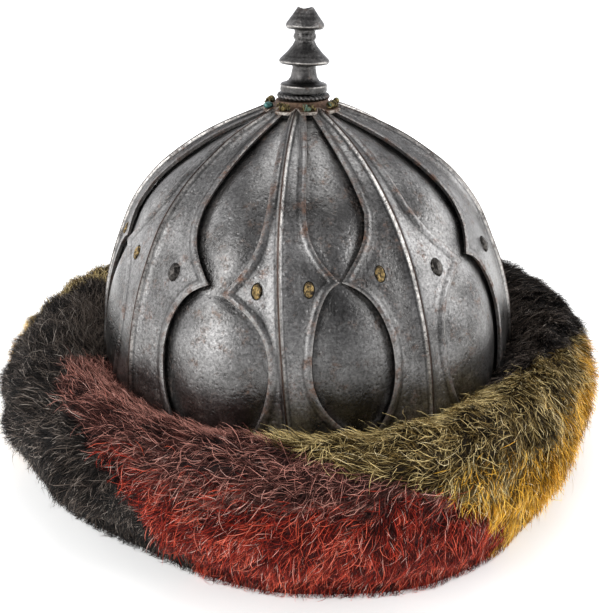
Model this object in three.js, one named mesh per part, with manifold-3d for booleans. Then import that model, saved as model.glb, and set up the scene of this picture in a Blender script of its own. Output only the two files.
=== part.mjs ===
// A multi-plate iron helmet with a fur ring around its rim, resting on a flat surface.
// Units are millimetres. +Z is up and the front faces -Y. Azimuths are degrees from the front, positive towards +X.
import * as THREE from 'three';
import { mergeVertices } from 'three/addons/utils/BufferGeometryUtils.js';
import Module from 'manifold-3d';

const wasm = await Module();
wasm.setup();

// The dome: the flat of the outer plates follows radius = (R - taper * z) * (1 - (z / H) ^ a) ^ b.
const FACE_RADIUS = 108.2;
const FACE_TAPER = 0.0545;
const FACE_HEIGHT = 166.5;
const FACE_SQUARENESS = 3.76;
const FACE_ROUNDING = 0.71;
// Between these heights the dome is a little wider than it is deep.
const SHOULDER_WIDER = 0.056;
const SHOULDER_FROM = [98, 140];
const SHOULDER_TO = [152, 163];

// The sheet iron.
const PLATE_THICKNESS = 1.6;
const PANEL_THICKNESS = 1.4;
const SEAT_GAP = 0.9;
const PLATE_RIM_Z = 0.8;
const PLATE_TOP_Z = 162.8;
const PANEL_EDGE_INSET = 1.6;
const PANEL_BULGE = 0.15;

// The sharp ridge down the middle of each outer plate.
const RIDGE_HEIGHT = 3;
const RIDGE_HALF_WIDTH = 9;
const RIDGE_SPREAD = 0.26;

// The openings are widest at these heights, and taper to a point at their foot.
const LOW_WIDEST_Z = 79;
const UP_WIDEST_Z = 131;
const FOOT_TAPER = 2.2;
const FOOT_HALF_GAP = 0.1;

// Azimuth of each ridge at the rim and at the crown. The plates are hand-made, so their spacing is uneven.
const RIDGES = [
  { rim: -88, crown: -88 },
  { rim: -47, crown: -50 },
  { rim: -1.5, crown: -9.5 },
  { rim: 30, crown: 30 },
  { rim: 79, crown: 79 },
  { rim: 127, crown: 127 },
  { rim: 175.5, crown: 175.5 },
  { rim: 224, crown: 224 },
];

// Each opening lies between a ridge and the next one. Its edges are given by their azimuths where the lower oval is
// widest, at the cusps and where the upper teardrop is widest, then the heights of the two cusps and the foot.
const OPENINGS = [
  { lowLeft: -81, lowRight: -57.5, tipLeft: -71.5, tipRight: -69.5, upLeft: -79.5, upRight: -58.5,
    cuspLeft: 111, cuspRight: 110, foot: -69, footZ: 30 },
  { lowLeft: -36.8, lowRight: -8.5, tipLeft: -26.1, tipRight: -22, upLeft: -36.5, upRight: -12.9,
    cuspLeft: 107.3, cuspRight: 104.5, foot: -23.5, footZ: 27 },
  { lowLeft: 1.4, lowRight: 21.2, tipLeft: 9.2, tipRight: 9.8, upLeft: 0.8, upRight: 20.8,
    cuspLeft: 110, cuspRight: 110, foot: 14, footZ: 45.5 },
  { lowLeft: 36.2, lowRight: 63.5, tipLeft: 50, tipRight: 53.7, upLeft: 38.2, upRight: 62,
    cuspLeft: 107.5, cuspRight: 108.6, foot: 50, footZ: 25 },
  { lowLeft: 92, lowRight: 114, tipLeft: 102, tipRight: 104.5, upLeft: 93, upRight: 113,
    cuspLeft: 108, cuspRight: 109, foot: 103, footZ: 30 },
  { lowLeft: 139, lowRight: 163.5, tipLeft: 150, tipRight: 152.5, upLeft: 140, upRight: 162.5,
    cuspLeft: 109, cuspRight: 108, foot: 151, footZ: 28 },
  { lowLeft: 188, lowRight: 212, tipLeft: 198.5, tipRight: 201, upLeft: 189, upRight: 211,
    cuspLeft: 107, cuspRight: 109, foot: 200, footZ: 32 },
  { lowLeft: 236, lowRight: 260, tipLeft: 246.5, tipRight: 249.5, upLeft: 237, upRight: 259,
    cuspLeft: 109, cuspRight: 110, foot: 248, footZ: 30 },
];

// Rows of the plate grids, as fractions of the way from the rim to the cusps, and from the cusps to the top.
const LOWER_ROWS = [0, 0.2, 0.4, 0.58, 0.74, 0.88, 0.97, 1];
const UPPER_ROWS = [0.06, 0.18, 0.34, 0.52, 0.72, 0.88, 1];
const PANEL_ROWS = [0, 2, 3, 4, 5, 7, 9, 10, 11, 12, 14];
const PLATE_COLUMNS = [-1, -0.42, 0, 0.42, 1];

// The oval rivets, one on each side of a ridge, stand on the panels in oval holes of the outer plates.
const RIVET_HALF_WIDTH = 2;
const RIVET_HALF_HEIGHT = 3.2;
const RIVET_RISE = 1.3;
const RIVET_CLEARANCE = 0.4;
const RIVET_PLACE = 0.46;
const RIVET_LIFT = 1.5;
const RIVET_SIDES = 6;
// Rivets that sit off their usual place, by number.
const RIVET_SHIFTS = {
  2: { azimuth: 0, z: -2.2 },
  3: { azimuth: 0, z: -2.3 },
  5: { azimuth: 1.3, z: 1.2 },
  6: { azimuth: 0.5, z: -3.3 },
  9: { azimuth: 1.2, z: -4.2 },
};
const GILT_RIVETS = [2, 3, 5, 6, 7, 10];
const SMALL_GAP = 0.3;

// The lobed disc on the apex, with a lobe in each space between two ridges.
const DISC_HOLE_RADIUS = 4.6;
const DISC_BOSS_RADIUS = 12.6;
const DISC_BOSS_Z = 166.1;
const DISC_NOTCH_RADIUS = 14.2;
const DISC_LOBE_RADIUS = 19.8;
const DISC_THICKNESS = 1.2;
const DISC_LIFT = 0.6;
const DISC_RIVET_RADIUS = 16.6;
const LOBE_STATIONS = [
  { along: 0.16, out: 0 },
  { along: 0.36, out: 1 },
  { along: 0.64, out: 1 },
  { along: 0.84, out: 0 },
];

// The finial and its roped collar lean a little to one side. Heights are above the foot of the finial.
const FINIAL_FOOT = { x: 0.6, z: 166.5 };
const FINIAL_LEAN = 2.2;
const FINIAL_SIDES = 12;
const TANG_RADIUS = 3.6;
const FINIAL_PROFILE = [
  { z: -6, d: 0 },
  { z: -6, d: 2 * TANG_RADIUS },
  { z: 4.2, d: 2 * TANG_RADIUS },
  { z: 4.2, d: 21.4 },
  { z: 6.5, d: 21.6 },
  { z: 7.4, d: 22 },
  { z: 8, d: 20.6 },
  { z: 9.2, d: 14.6 },
  { z: 11, d: 12.2 },
  { z: 12.2, d: 11.8 },
  { z: 14.7, d: 10.8 },
  { z: 16.3, d: 11.8 },
  { z: 16.8, d: 22.2 },
  { z: 17.8, d: 23.4 },
  { z: 18.8, d: 22.2 },
  { z: 24.6, d: 11 },
  { z: 26.7, d: 8.8 },
  { z: 28.3, d: 10.3 },
  { z: 29.8, d: 9.2 },
  { z: 31.2, d: 9.6 },
  { z: 31.6, d: 15.8 },
  { z: 32.7, d: 17.6 },
  { z: 34, d: 16.9 },
  { z: 40.8, d: 6.9 },
  { z: 40.2, d: 4.6 },
  { z: 36.5, d: 3 },
  { z: 36, d: 0 },
];
const BREAK_Z = 40;
const BREAK_DEPTH = 1.6;
const COLLAR_PROFILE = [
  { z: 0.35, d: 10 },
  { z: 0.35, d: 23 },
  { z: 1.2, d: 24.8 },
  { z: 2.9, d: 24.8 },
  { z: 3.85, d: 22.6 },
  { z: 3.85, d: 10 },
];

// The fur ring: a twisted roll of six lengths of dyed fur, modelled in lanes. Its section is a row of stations,
// from where it meets the dome over the top and down its outside to the surface, and back under it.
const FUR_LANES = 36;
const FUR_TWIST = 48;
const FUR_START = -68;
const FUR_END_GAP = 0.2;
const FUR_CENTRE = { r: 125, z: 30 };
const BACKING_SHARE = 0.88;
const SECTOR_SHARE = 1.6;
const SECTOR_MARGIN = 1.5;
const LANE_DEG = 360 / FUR_LANES;
const FUR_STATIONS = [
  { r: 108.8, z: 50, twist: 0 },
  { r: 115, z: 60, twist: 0.06 },
  { r: 124, z: 64, twist: 0.17 },
  { r: 136, z: 61, twist: 0.42 },
  { r: 146, z: 52, twist: 0.71 },
  { r: 151, z: 37, twist: 0.83 },
  { r: 147, z: 17, twist: 0.94 },
  { r: 137, z: 0, twist: 1 },
  { r: 112.3, z: 0, twist: 0.5 },
  { r: 110.9, z: 25, twist: 0.25 },
];
// How much further out the roll stands than its section, by direction: it is full at the left and the front right.
const FUR_FULLNESS = [
  { azimuth: -180, out: 0 },
  { azimuth: -120, out: 2.6 },
  { azimuth: -90, out: 3 },
  { azimuth: -62, out: 4.6 },
  { azimuth: -30, out: -4.5 },
  { azimuth: 0, out: 1.5 },
  { azimuth: 20, out: 5.5 },
  { azimuth: 31, out: 4.5 },
  { azimuth: 43, out: 0.5 },
  { azimuth: 52, out: -2.5 },
  { azimuth: 62, out: -4 },
  { azimuth: 76, out: -3.8 },
  { azimuth: 96, out: 1.5 },
  { azimuth: 130, out: 0 },
  { azimuth: 180, out: 0 },
];
const FULL_FROM_R = 116;
const FULL_TO_R = 138;
const UPPER_SIDE = 4;
const OUTER_FOOT = 7;
const FUR_LENGTHS = [
  { name: 'fur_red_front', span: 54, dye: 'red' },
  { name: 'fur_gold_right', span: 63, dye: 'gold' },
  { name: 'fur_black_right', span: 65, dye: 'black' },
  { name: 'fur_red_back', span: 70, dye: 'red' },
  { name: 'fur_gold_left', span: 61, dye: 'gold' },
  { name: 'fur_black_left', span: 47, dye: 'black' },
];

// The hair lies in locks, an upper and a lower row of them, swept back against the twist as they run down. A lock
// grows from a point, widens and runs out again.
const LOCK_ROUND = 30;
const LOCK_DEG = 360 / LOCK_ROUND;
const LOCK_SWEEP = 2.5;
const LOCKS = [
  { from: 0.3, to: 4.2, rise: 5.4 },
  { from: 2.9, to: 6.8, rise: 5.8 },
];
const LOCK_SECTIONS = [
  { along: 0.3, width: 1.05, top: 0.85 },
  { along: 0.72, width: 0.85, top: 1 },
];
const LOCK_SINK = 0.8;

const FINISH = {
  iron: { color: 0x4a4744, roughness: 0.45, metalness: 0.85 },
  panel: { color: 0x423d39, roughness: 0.5, metalness: 0.8 },
  gilt: { color: 0xa8823c, roughness: 0.4, metalness: 0.85 },
  brass: { color: 0x6d6a4c, roughness: 0.6, metalness: 0.6 },
  disc: { color: 0x5a4537, roughness: 0.6, metalness: 0.6 },
  red: { color: 0x8c2f24, roughness: 0.95, metalness: 0 },
  gold: { color: 0x8a6a2e, roughness: 0.95, metalness: 0 },
  black: { color: 0x2b2420, roughness: 0.95, metalness: 0 },
};

const rad = THREE.MathUtils.degToRad;
const lerp = THREE.MathUtils.lerp;
const TOP_ROW = LOWER_ROWS.length + UPPER_ROWS.length - 1;
const next = (k) => (k + 1) % RIDGES.length;
const before = (k) => (k + RIDGES.length - 1) % RIDGES.length;

// A repeatable value between -1 and 1 for two whole numbers, to vary pieces that are made by hand.
function vary(a, b) {
  const wave = Math.sin(a * 12.9898 + b * 78.233) * 43758.5453;
  return 2 * (wave - Math.floor(wave)) - 1;
}

// The dome

function faceRadius(z) {
  const up = Math.max(z, 0) / FACE_HEIGHT;
  return (FACE_RADIUS - FACE_TAPER * z) * Math.max(1 - up ** FACE_SQUARENESS, 0) ** FACE_ROUNDING;
}

function faceNormal(z) {
  const step = 0.05;
  const slope = (faceRadius(z + step) - faceRadius(z - step)) / (2 * step);
  return new THREE.Vector2(1, -slope).normalize();
}

function around(azimuth, radius, z) {
  return new THREE.Vector3(radius * Math.sin(rad(azimuth)), -radius * Math.cos(rad(azimuth)), z);
}

function domePoint(azimuth, z, lift) {
  const normal = faceNormal(z);
  const point = around(azimuth, faceRadius(z) + lift * normal.x, z + lift * normal.y);
  const shoulder = THREE.MathUtils.smoothstep(z, ...SHOULDER_FROM) - THREE.MathUtils.smoothstep(z, ...SHOULDER_TO);
  point.x *= 1 + SHOULDER_WIDER * shoulder * Math.sin(rad(azimuth)) ** 2;
  return point;
}

function degreesAcross(length, z) {
  return THREE.MathUtils.radToDeg(length / faceRadius(z));
}

function nearTo(azimuth, other) {
  return azimuth - 360 * Math.round((azimuth - other) / 360);
}

function ridgeAzimuth(k, z) {
  return lerp(RIDGES[k].rim, RIDGES[k].crown, z / FACE_HEIGHT);
}

// The edge of an opening: elliptical arcs meet in a cusp, and the lower oval tapers to its foot.
function edgeAzimuth(opening, side, z) {
  const tip = opening['tip' + side];
  const low = opening['low' + side];
  const cusp = opening['cusp' + side];
  const outward = side === 'Left' ? -1 : 1;
  if (z >= cusp) {
    const reach = z > UP_WIDEST_Z ? FACE_HEIGHT - UP_WIDEST_Z : UP_WIDEST_Z - cusp;
    const away = (z - UP_WIDEST_Z) / reach;
    return lerp(tip, opening['up' + side], Math.sqrt(Math.max(0, 1 - away * away)));
  }
  if (z >= LOW_WIDEST_Z) {
    const away = (z - LOW_WIDEST_Z) / (cusp - LOW_WIDEST_Z);
    return lerp(tip, low, Math.sqrt(Math.max(0, 1 - away * away)));
  }
  const down = Math.min(1, (LOW_WIDEST_Z - z) / (LOW_WIDEST_Z - opening.footZ));
  return lerp(opening.foot + outward * FOOT_HALF_GAP, low, 1 - down ** FOOT_TAPER);
}

function rowHeight(row, cusp) {
  if (row < LOWER_ROWS.length) return lerp(PLATE_RIM_Z, cusp, LOWER_ROWS[row]);
  return lerp(cusp, PLATE_TOP_Z, UPPER_ROWS[row - LOWER_ROWS.length]);
}

// Closed meshes

function toGeometry(points, triangles) {
  const geometry = new THREE.BufferGeometry();
  geometry.setAttribute('position', new THREE.Float32BufferAttribute(points.flatMap((p) => p.toArray()), 3));
  geometry.setIndex(triangles);
  return facingOut(geometry);
}

function facingOut(source) {
  const geometry = source.clone();
  geometry.deleteAttribute('normal');
  geometry.deleteAttribute('uv');
  const merged = mergeVertices(geometry, 1e-4);
  const place = merged.attributes.position;
  const [a, b, c] = [new THREE.Vector3(), new THREE.Vector3(), new THREE.Vector3()];
  const kept = [];
  let volume = 0;
  for (let i = 0; i < merged.index.count; i += 3) {
    const corners = [0, 1, 2].map((step) => merged.index.getX(i + step));
    if (new Set(corners).size < 3) continue;
    a.fromBufferAttribute(place, corners[0]);
    b.fromBufferAttribute(place, corners[1]);
    c.fromBufferAttribute(place, corners[2]);
    volume += a.dot(b.cross(c));
    kept.push(...corners);
  }
  merged.setIndex(volume < 0 ? kept.reverse() : kept);
  return merged;
}

// A sheet between an outer and an inner grid of points, closed around its four edges.
function sheet(rows, columns, outerPoint, innerPoint) {
  const points = [];
  for (const pointAt of [outerPoint, innerPoint]) {
    for (let i = 0; i < rows; i += 1) {
      for (let j = 0; j < columns; j += 1) points.push(pointAt(i, j));
    }
  }
  const outer = (i, j) => i * columns + j;
  const inner = (i, j) => rows * columns + i * columns + j;
  const triangles = [];
  const quad = (p, q, r, s) => triangles.push(p, q, r, p, r, s);
  for (let i = 0; i + 1 < rows; i += 1) {
    for (let j = 0; j + 1 < columns; j += 1) {
      quad(outer(i, j), outer(i, j + 1), outer(i + 1, j + 1), outer(i + 1, j));
      quad(inner(i, j), inner(i + 1, j), inner(i + 1, j + 1), inner(i, j + 1));
    }
    quad(outer(i, 0), outer(i + 1, 0), inner(i + 1, 0), inner(i, 0));
    const last = columns - 1;
    quad(outer(i, last), inner(i, last), inner(i + 1, last), outer(i + 1, last));
  }
  for (let j = 0; j + 1 < columns; j += 1) {
    quad(outer(0, j), inner(0, j), inner(0, j + 1), outer(0, j + 1));
    const top = rows - 1;
    quad(outer(top, j), outer(top, j + 1), inner(top, j + 1), inner(top, j));
  }
  return toGeometry(points, triangles);
}

function turned(profile, sides) {
  const outline = profile.map((row) => new THREE.Vector2(row.d / 2, row.z));
  if (profile[0].d > 0) outline.push(outline[0].clone());
  return facingOut(new THREE.LatheGeometry(outline, sides).rotateX(Math.PI / 2));
}

function toSolid(geometry) {
  return new wasm.Manifold(new wasm.Mesh({
    numProp: 3,
    vertProperties: new Float32Array(geometry.attributes.position.array),
    triVerts: new Uint32Array(geometry.index.array),
  }));
}

function fromSolid(solid) {
  const mesh = solid.getMesh();
  const geometry = new THREE.BufferGeometry();
  geometry.setAttribute('position', new THREE.BufferAttribute(new Float32Array(mesh.vertProperties), 3));
  geometry.setIndex(Array.from(mesh.triVerts));
  return geometry;
}

function named(name, geometry, finish) {
  const mesh = new THREE.Mesh(geometry, new THREE.MeshStandardMaterial(FINISH[finish]));
  mesh.name = name;
  geometry.computeVertexNormals();
  return mesh;
}

// The rivets' places, each with its outward normal as its third axis and the way up the dome as its second.

function rivetPlaces(k) {
  const left = OPENINGS[before(k)];
  const right = OPENINGS[k];
  return [
    { tip: left.tipRight, cusp: left.cuspRight },
    { tip: right.tipLeft, cusp: right.cuspLeft },
  ].map(({ tip, cusp }, side) => {
    const moved = RIVET_SHIFTS[2 * k + side + 1] ?? { azimuth: 0, z: 0 };
    const z = cusp + RIVET_LIFT + moved.z;
    const ridge = ridgeAzimuth(k, z);
    return { azimuth: lerp(ridge, nearTo(tip, ridge), RIVET_PLACE) + moved.azimuth, z };
  });
}

function seatOnDome({ azimuth, z }, lift) {
  const slope = faceNormal(z);
  const across = around(azimuth + 90, 1, 0);
  const normal = around(azimuth, slope.x, slope.y);
  const up = normal.clone().cross(across);
  return new THREE.Matrix4().makeBasis(across, up, normal).setPosition(domePoint(azimuth, z, lift));
}

// Outer plates

function outerPlatePoint(k, row, u, depth) {
  const left = OPENINGS[before(k)];
  const right = OPENINGS[k];
  const leftZ = rowHeight(row, left.cuspRight);
  const rightZ = rowHeight(row, right.cuspLeft);
  const edgeZ = u < 0 ? leftZ : rightZ;
  const z = lerp((leftZ + rightZ) / 2, edgeZ, Math.abs(u));
  const ridge = ridgeAzimuth(k, z);
  const edge = u < 0 ? edgeAzimuth(left, 'Right', leftZ) : edgeAzimuth(right, 'Left', rightZ);
  const azimuth = lerp(ridge, nearTo(edge, ridge), Math.abs(u));
  const radius = faceRadius(z);
  const fromRidge = Math.abs(rad(azimuth - ridge)) * radius;
  const halfWidth = Math.min(RIDGE_HALF_WIDTH, RIDGE_SPREAD * radius);
  const rise = RIDGE_HEIGHT * Math.max(0, 1 - fromRidge / halfWidth) ** 2;
  return domePoint(azimuth, z, rise - depth);
}

function outerPlate(k) {
  const pointAt = (depth) => (i, j) => outerPlatePoint(k, i, PLATE_COLUMNS[j], depth);
  const plain = sheet(TOP_ROW + 1, PLATE_COLUMNS.length, pointAt(0), pointAt(PLATE_THICKNESS));
  let solid = toSolid(plain);
  for (const place of rivetPlaces(k)) {
    const hole = new THREE.CylinderGeometry(1, 1, 8, RIVET_SIDES).rotateX(Math.PI / 2);
    hole.scale(RIVET_HALF_WIDTH + RIVET_CLEARANCE, RIVET_HALF_HEIGHT + RIVET_CLEARANCE, 1);
    hole.applyMatrix4(seatOnDome(place, 0));
    solid = solid.subtract(toSolid(facingOut(hole)));
  }
  return named(`outer_plate_${k + 1}`, fromSolid(solid), 'iron');
}

// Inner plates: a panel reaches from under one ridge to under the next, and bulges in its two openings.

function innerPlatePoint(k, row, column, depth) {
  const opening = OPENINGS[k];
  const z = rowHeight(row, (opening.cuspLeft + opening.cuspRight) / 2);
  const inset = degreesAcross(PANEL_EDGE_INSET, z);
  const from = ridgeAzimuth(k, z) + inset;
  const to = nearTo(ridgeAzimuth(next(k), z), opening.foot) - inset;
  const openLeft = nearTo(edgeAzimuth(opening, 'Left', z), opening.foot);
  const openRight = nearTo(edgeAzimuth(opening, 'Right', z), opening.foot);
  const middle = (openLeft + openRight) / 2;
  const half = Math.max((openRight - openLeft) / 2 - degreesAcross(1, z), degreesAcross(0.5, z));
  const azimuths = [nearTo(from, opening.foot), middle - half, middle, middle + half, to];
  const bulge = column === 2 ? PANEL_BULGE * rad(half) * faceRadius(z) : 0;
  return domePoint(azimuths[column], z, bulge - PLATE_THICKNESS - SEAT_GAP - depth);
}

function innerPlate(k) {
  const pointAt = (depth) => (i, j) => innerPlatePoint(k, PANEL_ROWS[i], j, depth);
  return named(`inner_plate_${k + 1}`, sheet(PANEL_ROWS.length, 5, pointAt(0), pointAt(PANEL_THICKNESS)), 'panel');
}

// Rivets

function ovalRivet(name, place, finish) {
  const foot = -(PLATE_THICKNESS + SEAT_GAP - SMALL_GAP);
  const profile = [
    { z: foot, d: 0 },
    { z: foot, d: 2 },
    { z: 0.4, d: 2 },
    { z: 0.4 + 0.65 * (RIVET_RISE - 0.4), d: 1.4 },
    { z: RIVET_RISE, d: 0 },
  ];
  const geometry = turned(profile, RIVET_SIDES).scale(RIVET_HALF_WIDTH, RIVET_HALF_HEIGHT, 1);
  const mesh = named(name, geometry, finish);
  mesh.applyMatrix4(seatOnDome(place, 0));
  return mesh;
}

// Crown disc, with its small rivets

function faceHeight(radius) {
  let [low, high] = [0, FACE_HEIGHT];
  for (let step = 0; step < 30; step += 1) {
    const middle = (low + high) / 2;
    if (faceRadius(middle) > radius) low = middle;
    else high = middle;
  }
  return low;
}

function discPoint(azimuth, radius, lift) {
  return around(azimuth, radius, faceHeight(radius) + lift);
}

function crownDisc() {
  const rim = [];
  for (let k = 0; k < RIDGES.length; k += 1) {
    const from = RIDGES[k].crown;
    const to = nearTo(RIDGES[next(k)].crown, from + 45);
    for (const { along, out } of LOBE_STATIONS) {
      const reach = DISC_LOBE_RADIUS + 0.7 * vary(k, 3);
      rim.push({ azimuth: lerp(from, to, along), radius: lerp(DISC_NOTCH_RADIUS, reach, out) });
    }
  }
  rim.push({ ...rim[0], azimuth: rim[0].azimuth + 360 });
  const bands = [
    (at) => around(at.azimuth, DISC_HOLE_RADIUS, DISC_BOSS_Z - DISC_THICKNESS),
    (at) => around(at.azimuth, DISC_HOLE_RADIUS, DISC_BOSS_Z),
    (at) => around(at.azimuth, DISC_BOSS_RADIUS, DISC_BOSS_Z),
    (at) => discPoint(at.azimuth, at.radius, DISC_LIFT + DISC_THICKNESS),
    (at) => discPoint(at.azimuth, at.radius, DISC_LIFT),
    (at) => around(at.azimuth, DISC_BOSS_RADIUS, DISC_BOSS_Z - DISC_THICKNESS),
  ];
  const points = rim.flatMap((at) => bands.map((band) => band(at)));
  const triangles = [];
  for (let i = 0; i + 1 < rim.length; i += 1) {
    for (let j = 0; j < bands.length; j += 1) {
      const [p, q] = [i * bands.length + j, i * bands.length + (j + 1) % bands.length];
      triangles.push(p, q, q + bands.length, p, q + bands.length, p + bands.length);
    }
  }
  return named('crown_disc', toGeometry(points, triangles), 'disc');
}

function crownRivet(k) {
  const from = RIDGES[k].crown;
  const azimuth = (from + nearTo(RIDGES[next(k)].crown, from + 45)) / 2;
  const profile = [
    { z: 0, d: 0 },
    { z: 0, d: 3.4 },
    { z: 1.1, d: 2.6 },
    { z: 1.7, d: 0 },
  ];
  const mesh = named(`crown_rivet_${k + 1}`, turned(profile, 6), 'brass');
  mesh.position.copy(discPoint(azimuth, DISC_RIVET_RADIUS, DISC_LIFT + DISC_THICKNESS + 1.1));
  mesh.rotation.z = rad(azimuth);
  return mesh;
}

// Finial, broken open at its tip, and its collar

function finialGroup() {
  const spike = turned(FINIAL_PROFILE, FINIAL_SIDES);
  const place = spike.attributes.position;
  for (let i = 0; i < place.count; i += 1) {
    if (place.getZ(i) < BREAK_Z) continue;
    const turn = Math.round((Math.atan2(place.getY(i), place.getX(i)) / (2 * Math.PI)) * FINIAL_SIDES);
    place.setZ(i, place.getZ(i) - BREAK_DEPTH * Math.abs(vary((turn + FINIAL_SIDES) % FINIAL_SIDES, 7)));
  }
  const group = new THREE.Group();
  group.position.set(FINIAL_FOOT.x, 0, FINIAL_FOOT.z);
  group.rotation.y = rad(FINIAL_LEAN);
  group.add(named('finial', spike, 'iron'), named('finial_collar', turned(COLLAR_PROFILE, 16), 'iron'));
  return group;
}

// Fur

function fullness(azimuth, radius) {
  const at = nearTo(azimuth, 0);
  const i = FUR_FULLNESS.findIndex((row) => row.azimuth >= at);
  const [a, b] = [FUR_FULLNESS[Math.max(i - 1, 0)], FUR_FULLNESS[i]];
  const out = lerp(a.out, b.out, THREE.MathUtils.smoothstep(at, a.azimuth, b.azimuth));
  return out * THREE.MathUtils.smoothstep(radius, FULL_FROM_R, FULL_TO_R);
}

// A point of the roll, by its station along the section, its azimuth and its height above the backing.
function furPoint(station, azimuth, lift) {
  const i = Math.min(Math.floor(station), FUR_STATIONS.length - 2);
  const [a, b] = [FUR_STATIONS[i], FUR_STATIONS[i + 1]];
  const share = station - i;
  const out = new THREE.Vector2(lerp(a.r, b.r, share) - FUR_CENTRE.r, lerp(a.z, b.z, share) - FUR_CENTRE.z);
  const held = station <= 0 || station >= OUTER_FOOT;
  out.setLength(out.length() * (held ? 1 : BACKING_SHARE) + lift);
  const radius = FUR_CENTRE.r + out.x + fullness(azimuth, lerp(a.r, b.r, share));
  return around(azimuth, radius, Math.max(0, FUR_CENTRE.z + out.y));
}

function backingPoint(station, laneAzimuth) {
  return furPoint(station, laneAzimuth + FUR_TWIST * FUR_STATIONS[station].twist, 0);
}

// The same section with room all round, to cut a length of fur off at its two twisted ends.
function sectorPoint(station, laneAzimuth) {
  const { r, z, twist } = FUR_STATIONS[station];
  const azimuth = laneAzimuth + FUR_TWIST * twist;
  if (station === 0 || station > OUTER_FOOT) {
    return around(azimuth, r - SECTOR_MARGIN, z > 0 ? z : -SECTOR_MARGIN);
  }
  const radius = lerp(FUR_CENTRE.r, r, SECTOR_SHARE);
  return around(azimuth, radius, z > 0 ? lerp(FUR_CENTRE.z, z, SECTOR_SHARE) : -SECTOR_MARGIN);
}

function twistedSector(from, to, lanes, pointAt) {
  const count = FUR_STATIONS.length;
  const points = [];
  for (let j = 0; j <= lanes; j += 1) {
    for (let i = 0; i < count; i += 1) points.push(pointAt(i, lerp(from, to, j / lanes)));
  }
  const triangles = [];
  for (let j = 0; j < lanes; j += 1) {
    for (let i = 0; i < count; i += 1) {
      const [p, q] = [j * count + i, j * count + (i + 1) % count];
      if (i < OUTER_FOOT) triangles.push(p, q, p + count, q, q + count, p + count);
      else triangles.push(p, q, q + count, p, q + count, p + count);
    }
  }
  const end = lanes * count;
  for (let step = 1; step + 1 < count; step += 1) {
    const [p, q] = [(UPPER_SIDE + step) % count, (UPPER_SIDE + step + 1) % count];
    triangles.push(UPPER_SIDE, q, p, end + UPPER_SIDE, end + p, end + q);
  }
  return toSolid(toGeometry(points, triangles));
}

function furLock(place, lock, index) {
  const from = lock.from + 0.25 * vary(place, index);
  const to = lock.to + 0.2 * vary(place, index + 5);
  const rise = lock.rise * (1 + 0.2 * vary(place, index + 9));
  const root = (place + 0.5 * index + 0.3 * vary(place, index + 2)) * LOCK_DEG;
  const azimuth = (station) => root - LOCK_SWEEP * (station - lock.from);
  const points = [furPoint(from, azimuth(from), -LOCK_SINK)];
  for (const { along, width, top } of LOCK_SECTIONS) {
    const station = lerp(from, to, along);
    const half = (width * LOCK_DEG) / 2;
    points.push(furPoint(station, azimuth(station) - half, -LOCK_SINK));
    points.push(furPoint(station, azimuth(station), top * rise));
    points.push(furPoint(station, azimuth(station) + half, -LOCK_SINK));
  }
  points.push(furPoint(to, azimuth(to), -LOCK_SINK));
  const tip = points.length - 1;
  const triangles = [];
  for (let c = 0; c < 3; c += 1) {
    const [p, q] = [1 + c, 1 + (c + 1) % 3];
    triangles.push(0, q, p, p, q, q + 3, p, q + 3, p + 3, p + 3, q + 3, tip);
  }
  return toSolid(toGeometry(points, triangles));
}

// A length of fur: the backing with every lock that reaches it, cut off at its ends.
function furLength(start, { name, span, dye }) {
  const end = start + span;
  const lanes = Math.round(span / LANE_DEG);
  let solid = twistedSector(start - LANE_DEG, end + LANE_DEG, lanes + 2, backingPoint);
  const first = Math.floor(start / LOCK_DEG) - 1;
  const last = Math.ceil((end + FUR_TWIST) / LOCK_DEG) + 1;
  for (let place = first; place <= last; place += 1) {
    LOCKS.forEach((lock, index) => {
      solid = solid.add(furLock((place + LOCK_ROUND) % LOCK_ROUND, lock, index));
    });
  }
  const room = twistedSector(start + FUR_END_GAP, end - FUR_END_GAP, lanes, sectorPoint);
  return named(name, fromSolid(solid.intersect(room)), dye);
}

// Assembly

const helmet = new THREE.Group();
RIDGES.forEach((ridge, k) => {
  helmet.add(outerPlate(k), innerPlate(k), crownRivet(k));
  rivetPlaces(k).forEach((place, side) => {
    const number = 2 * k + side + 1;
    helmet.add(ovalRivet(`plate_rivet_${number}`, place, GILT_RIVETS.includes(number) ? 'gilt' : 'iron'));
  });
});
helmet.add(crownDisc(), finialGroup());
let furStart = FUR_START;
for (const length of FUR_LENGTHS) {
  helmet.add(furLength(furStart, length));
  furStart += length.span;
}

export default helmet;
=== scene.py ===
# %% [markdown]
# # A multi-plate iron helmet with a ring of dyed fur
# The dome is made of eight ridged iron plates with cusped edges, laid over eight plain panels. A lobed disc
# and a broken finial close the crown, and a twisted roll of red, gold and black fur goes round the rim. The
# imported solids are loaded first. Every piece below is shaped from the same sizes, so it lies where its solid
# lies.

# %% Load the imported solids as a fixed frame
import math

import bmesh
import bpy
import numpy as np
from mathutils import Matrix, Vector, noise


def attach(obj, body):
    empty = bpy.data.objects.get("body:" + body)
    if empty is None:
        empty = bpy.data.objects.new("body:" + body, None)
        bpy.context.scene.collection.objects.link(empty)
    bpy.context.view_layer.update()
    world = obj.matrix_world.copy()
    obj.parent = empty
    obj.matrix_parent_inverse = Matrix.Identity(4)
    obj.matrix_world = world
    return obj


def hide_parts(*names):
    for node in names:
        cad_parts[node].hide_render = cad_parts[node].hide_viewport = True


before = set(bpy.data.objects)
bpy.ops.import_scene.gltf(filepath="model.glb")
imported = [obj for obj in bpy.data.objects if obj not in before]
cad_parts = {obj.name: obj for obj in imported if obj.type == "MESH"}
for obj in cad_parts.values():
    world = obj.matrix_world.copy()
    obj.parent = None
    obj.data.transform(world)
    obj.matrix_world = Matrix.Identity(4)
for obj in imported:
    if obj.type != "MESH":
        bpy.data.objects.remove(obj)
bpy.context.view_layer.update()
MM = 0.001
SEED = 7
random = np.random.default_rng(SEED)
# Blender's own noise would start from the clock, and the dents of the rivets would differ from run to run.
noise.seed_set(SEED)

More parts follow.
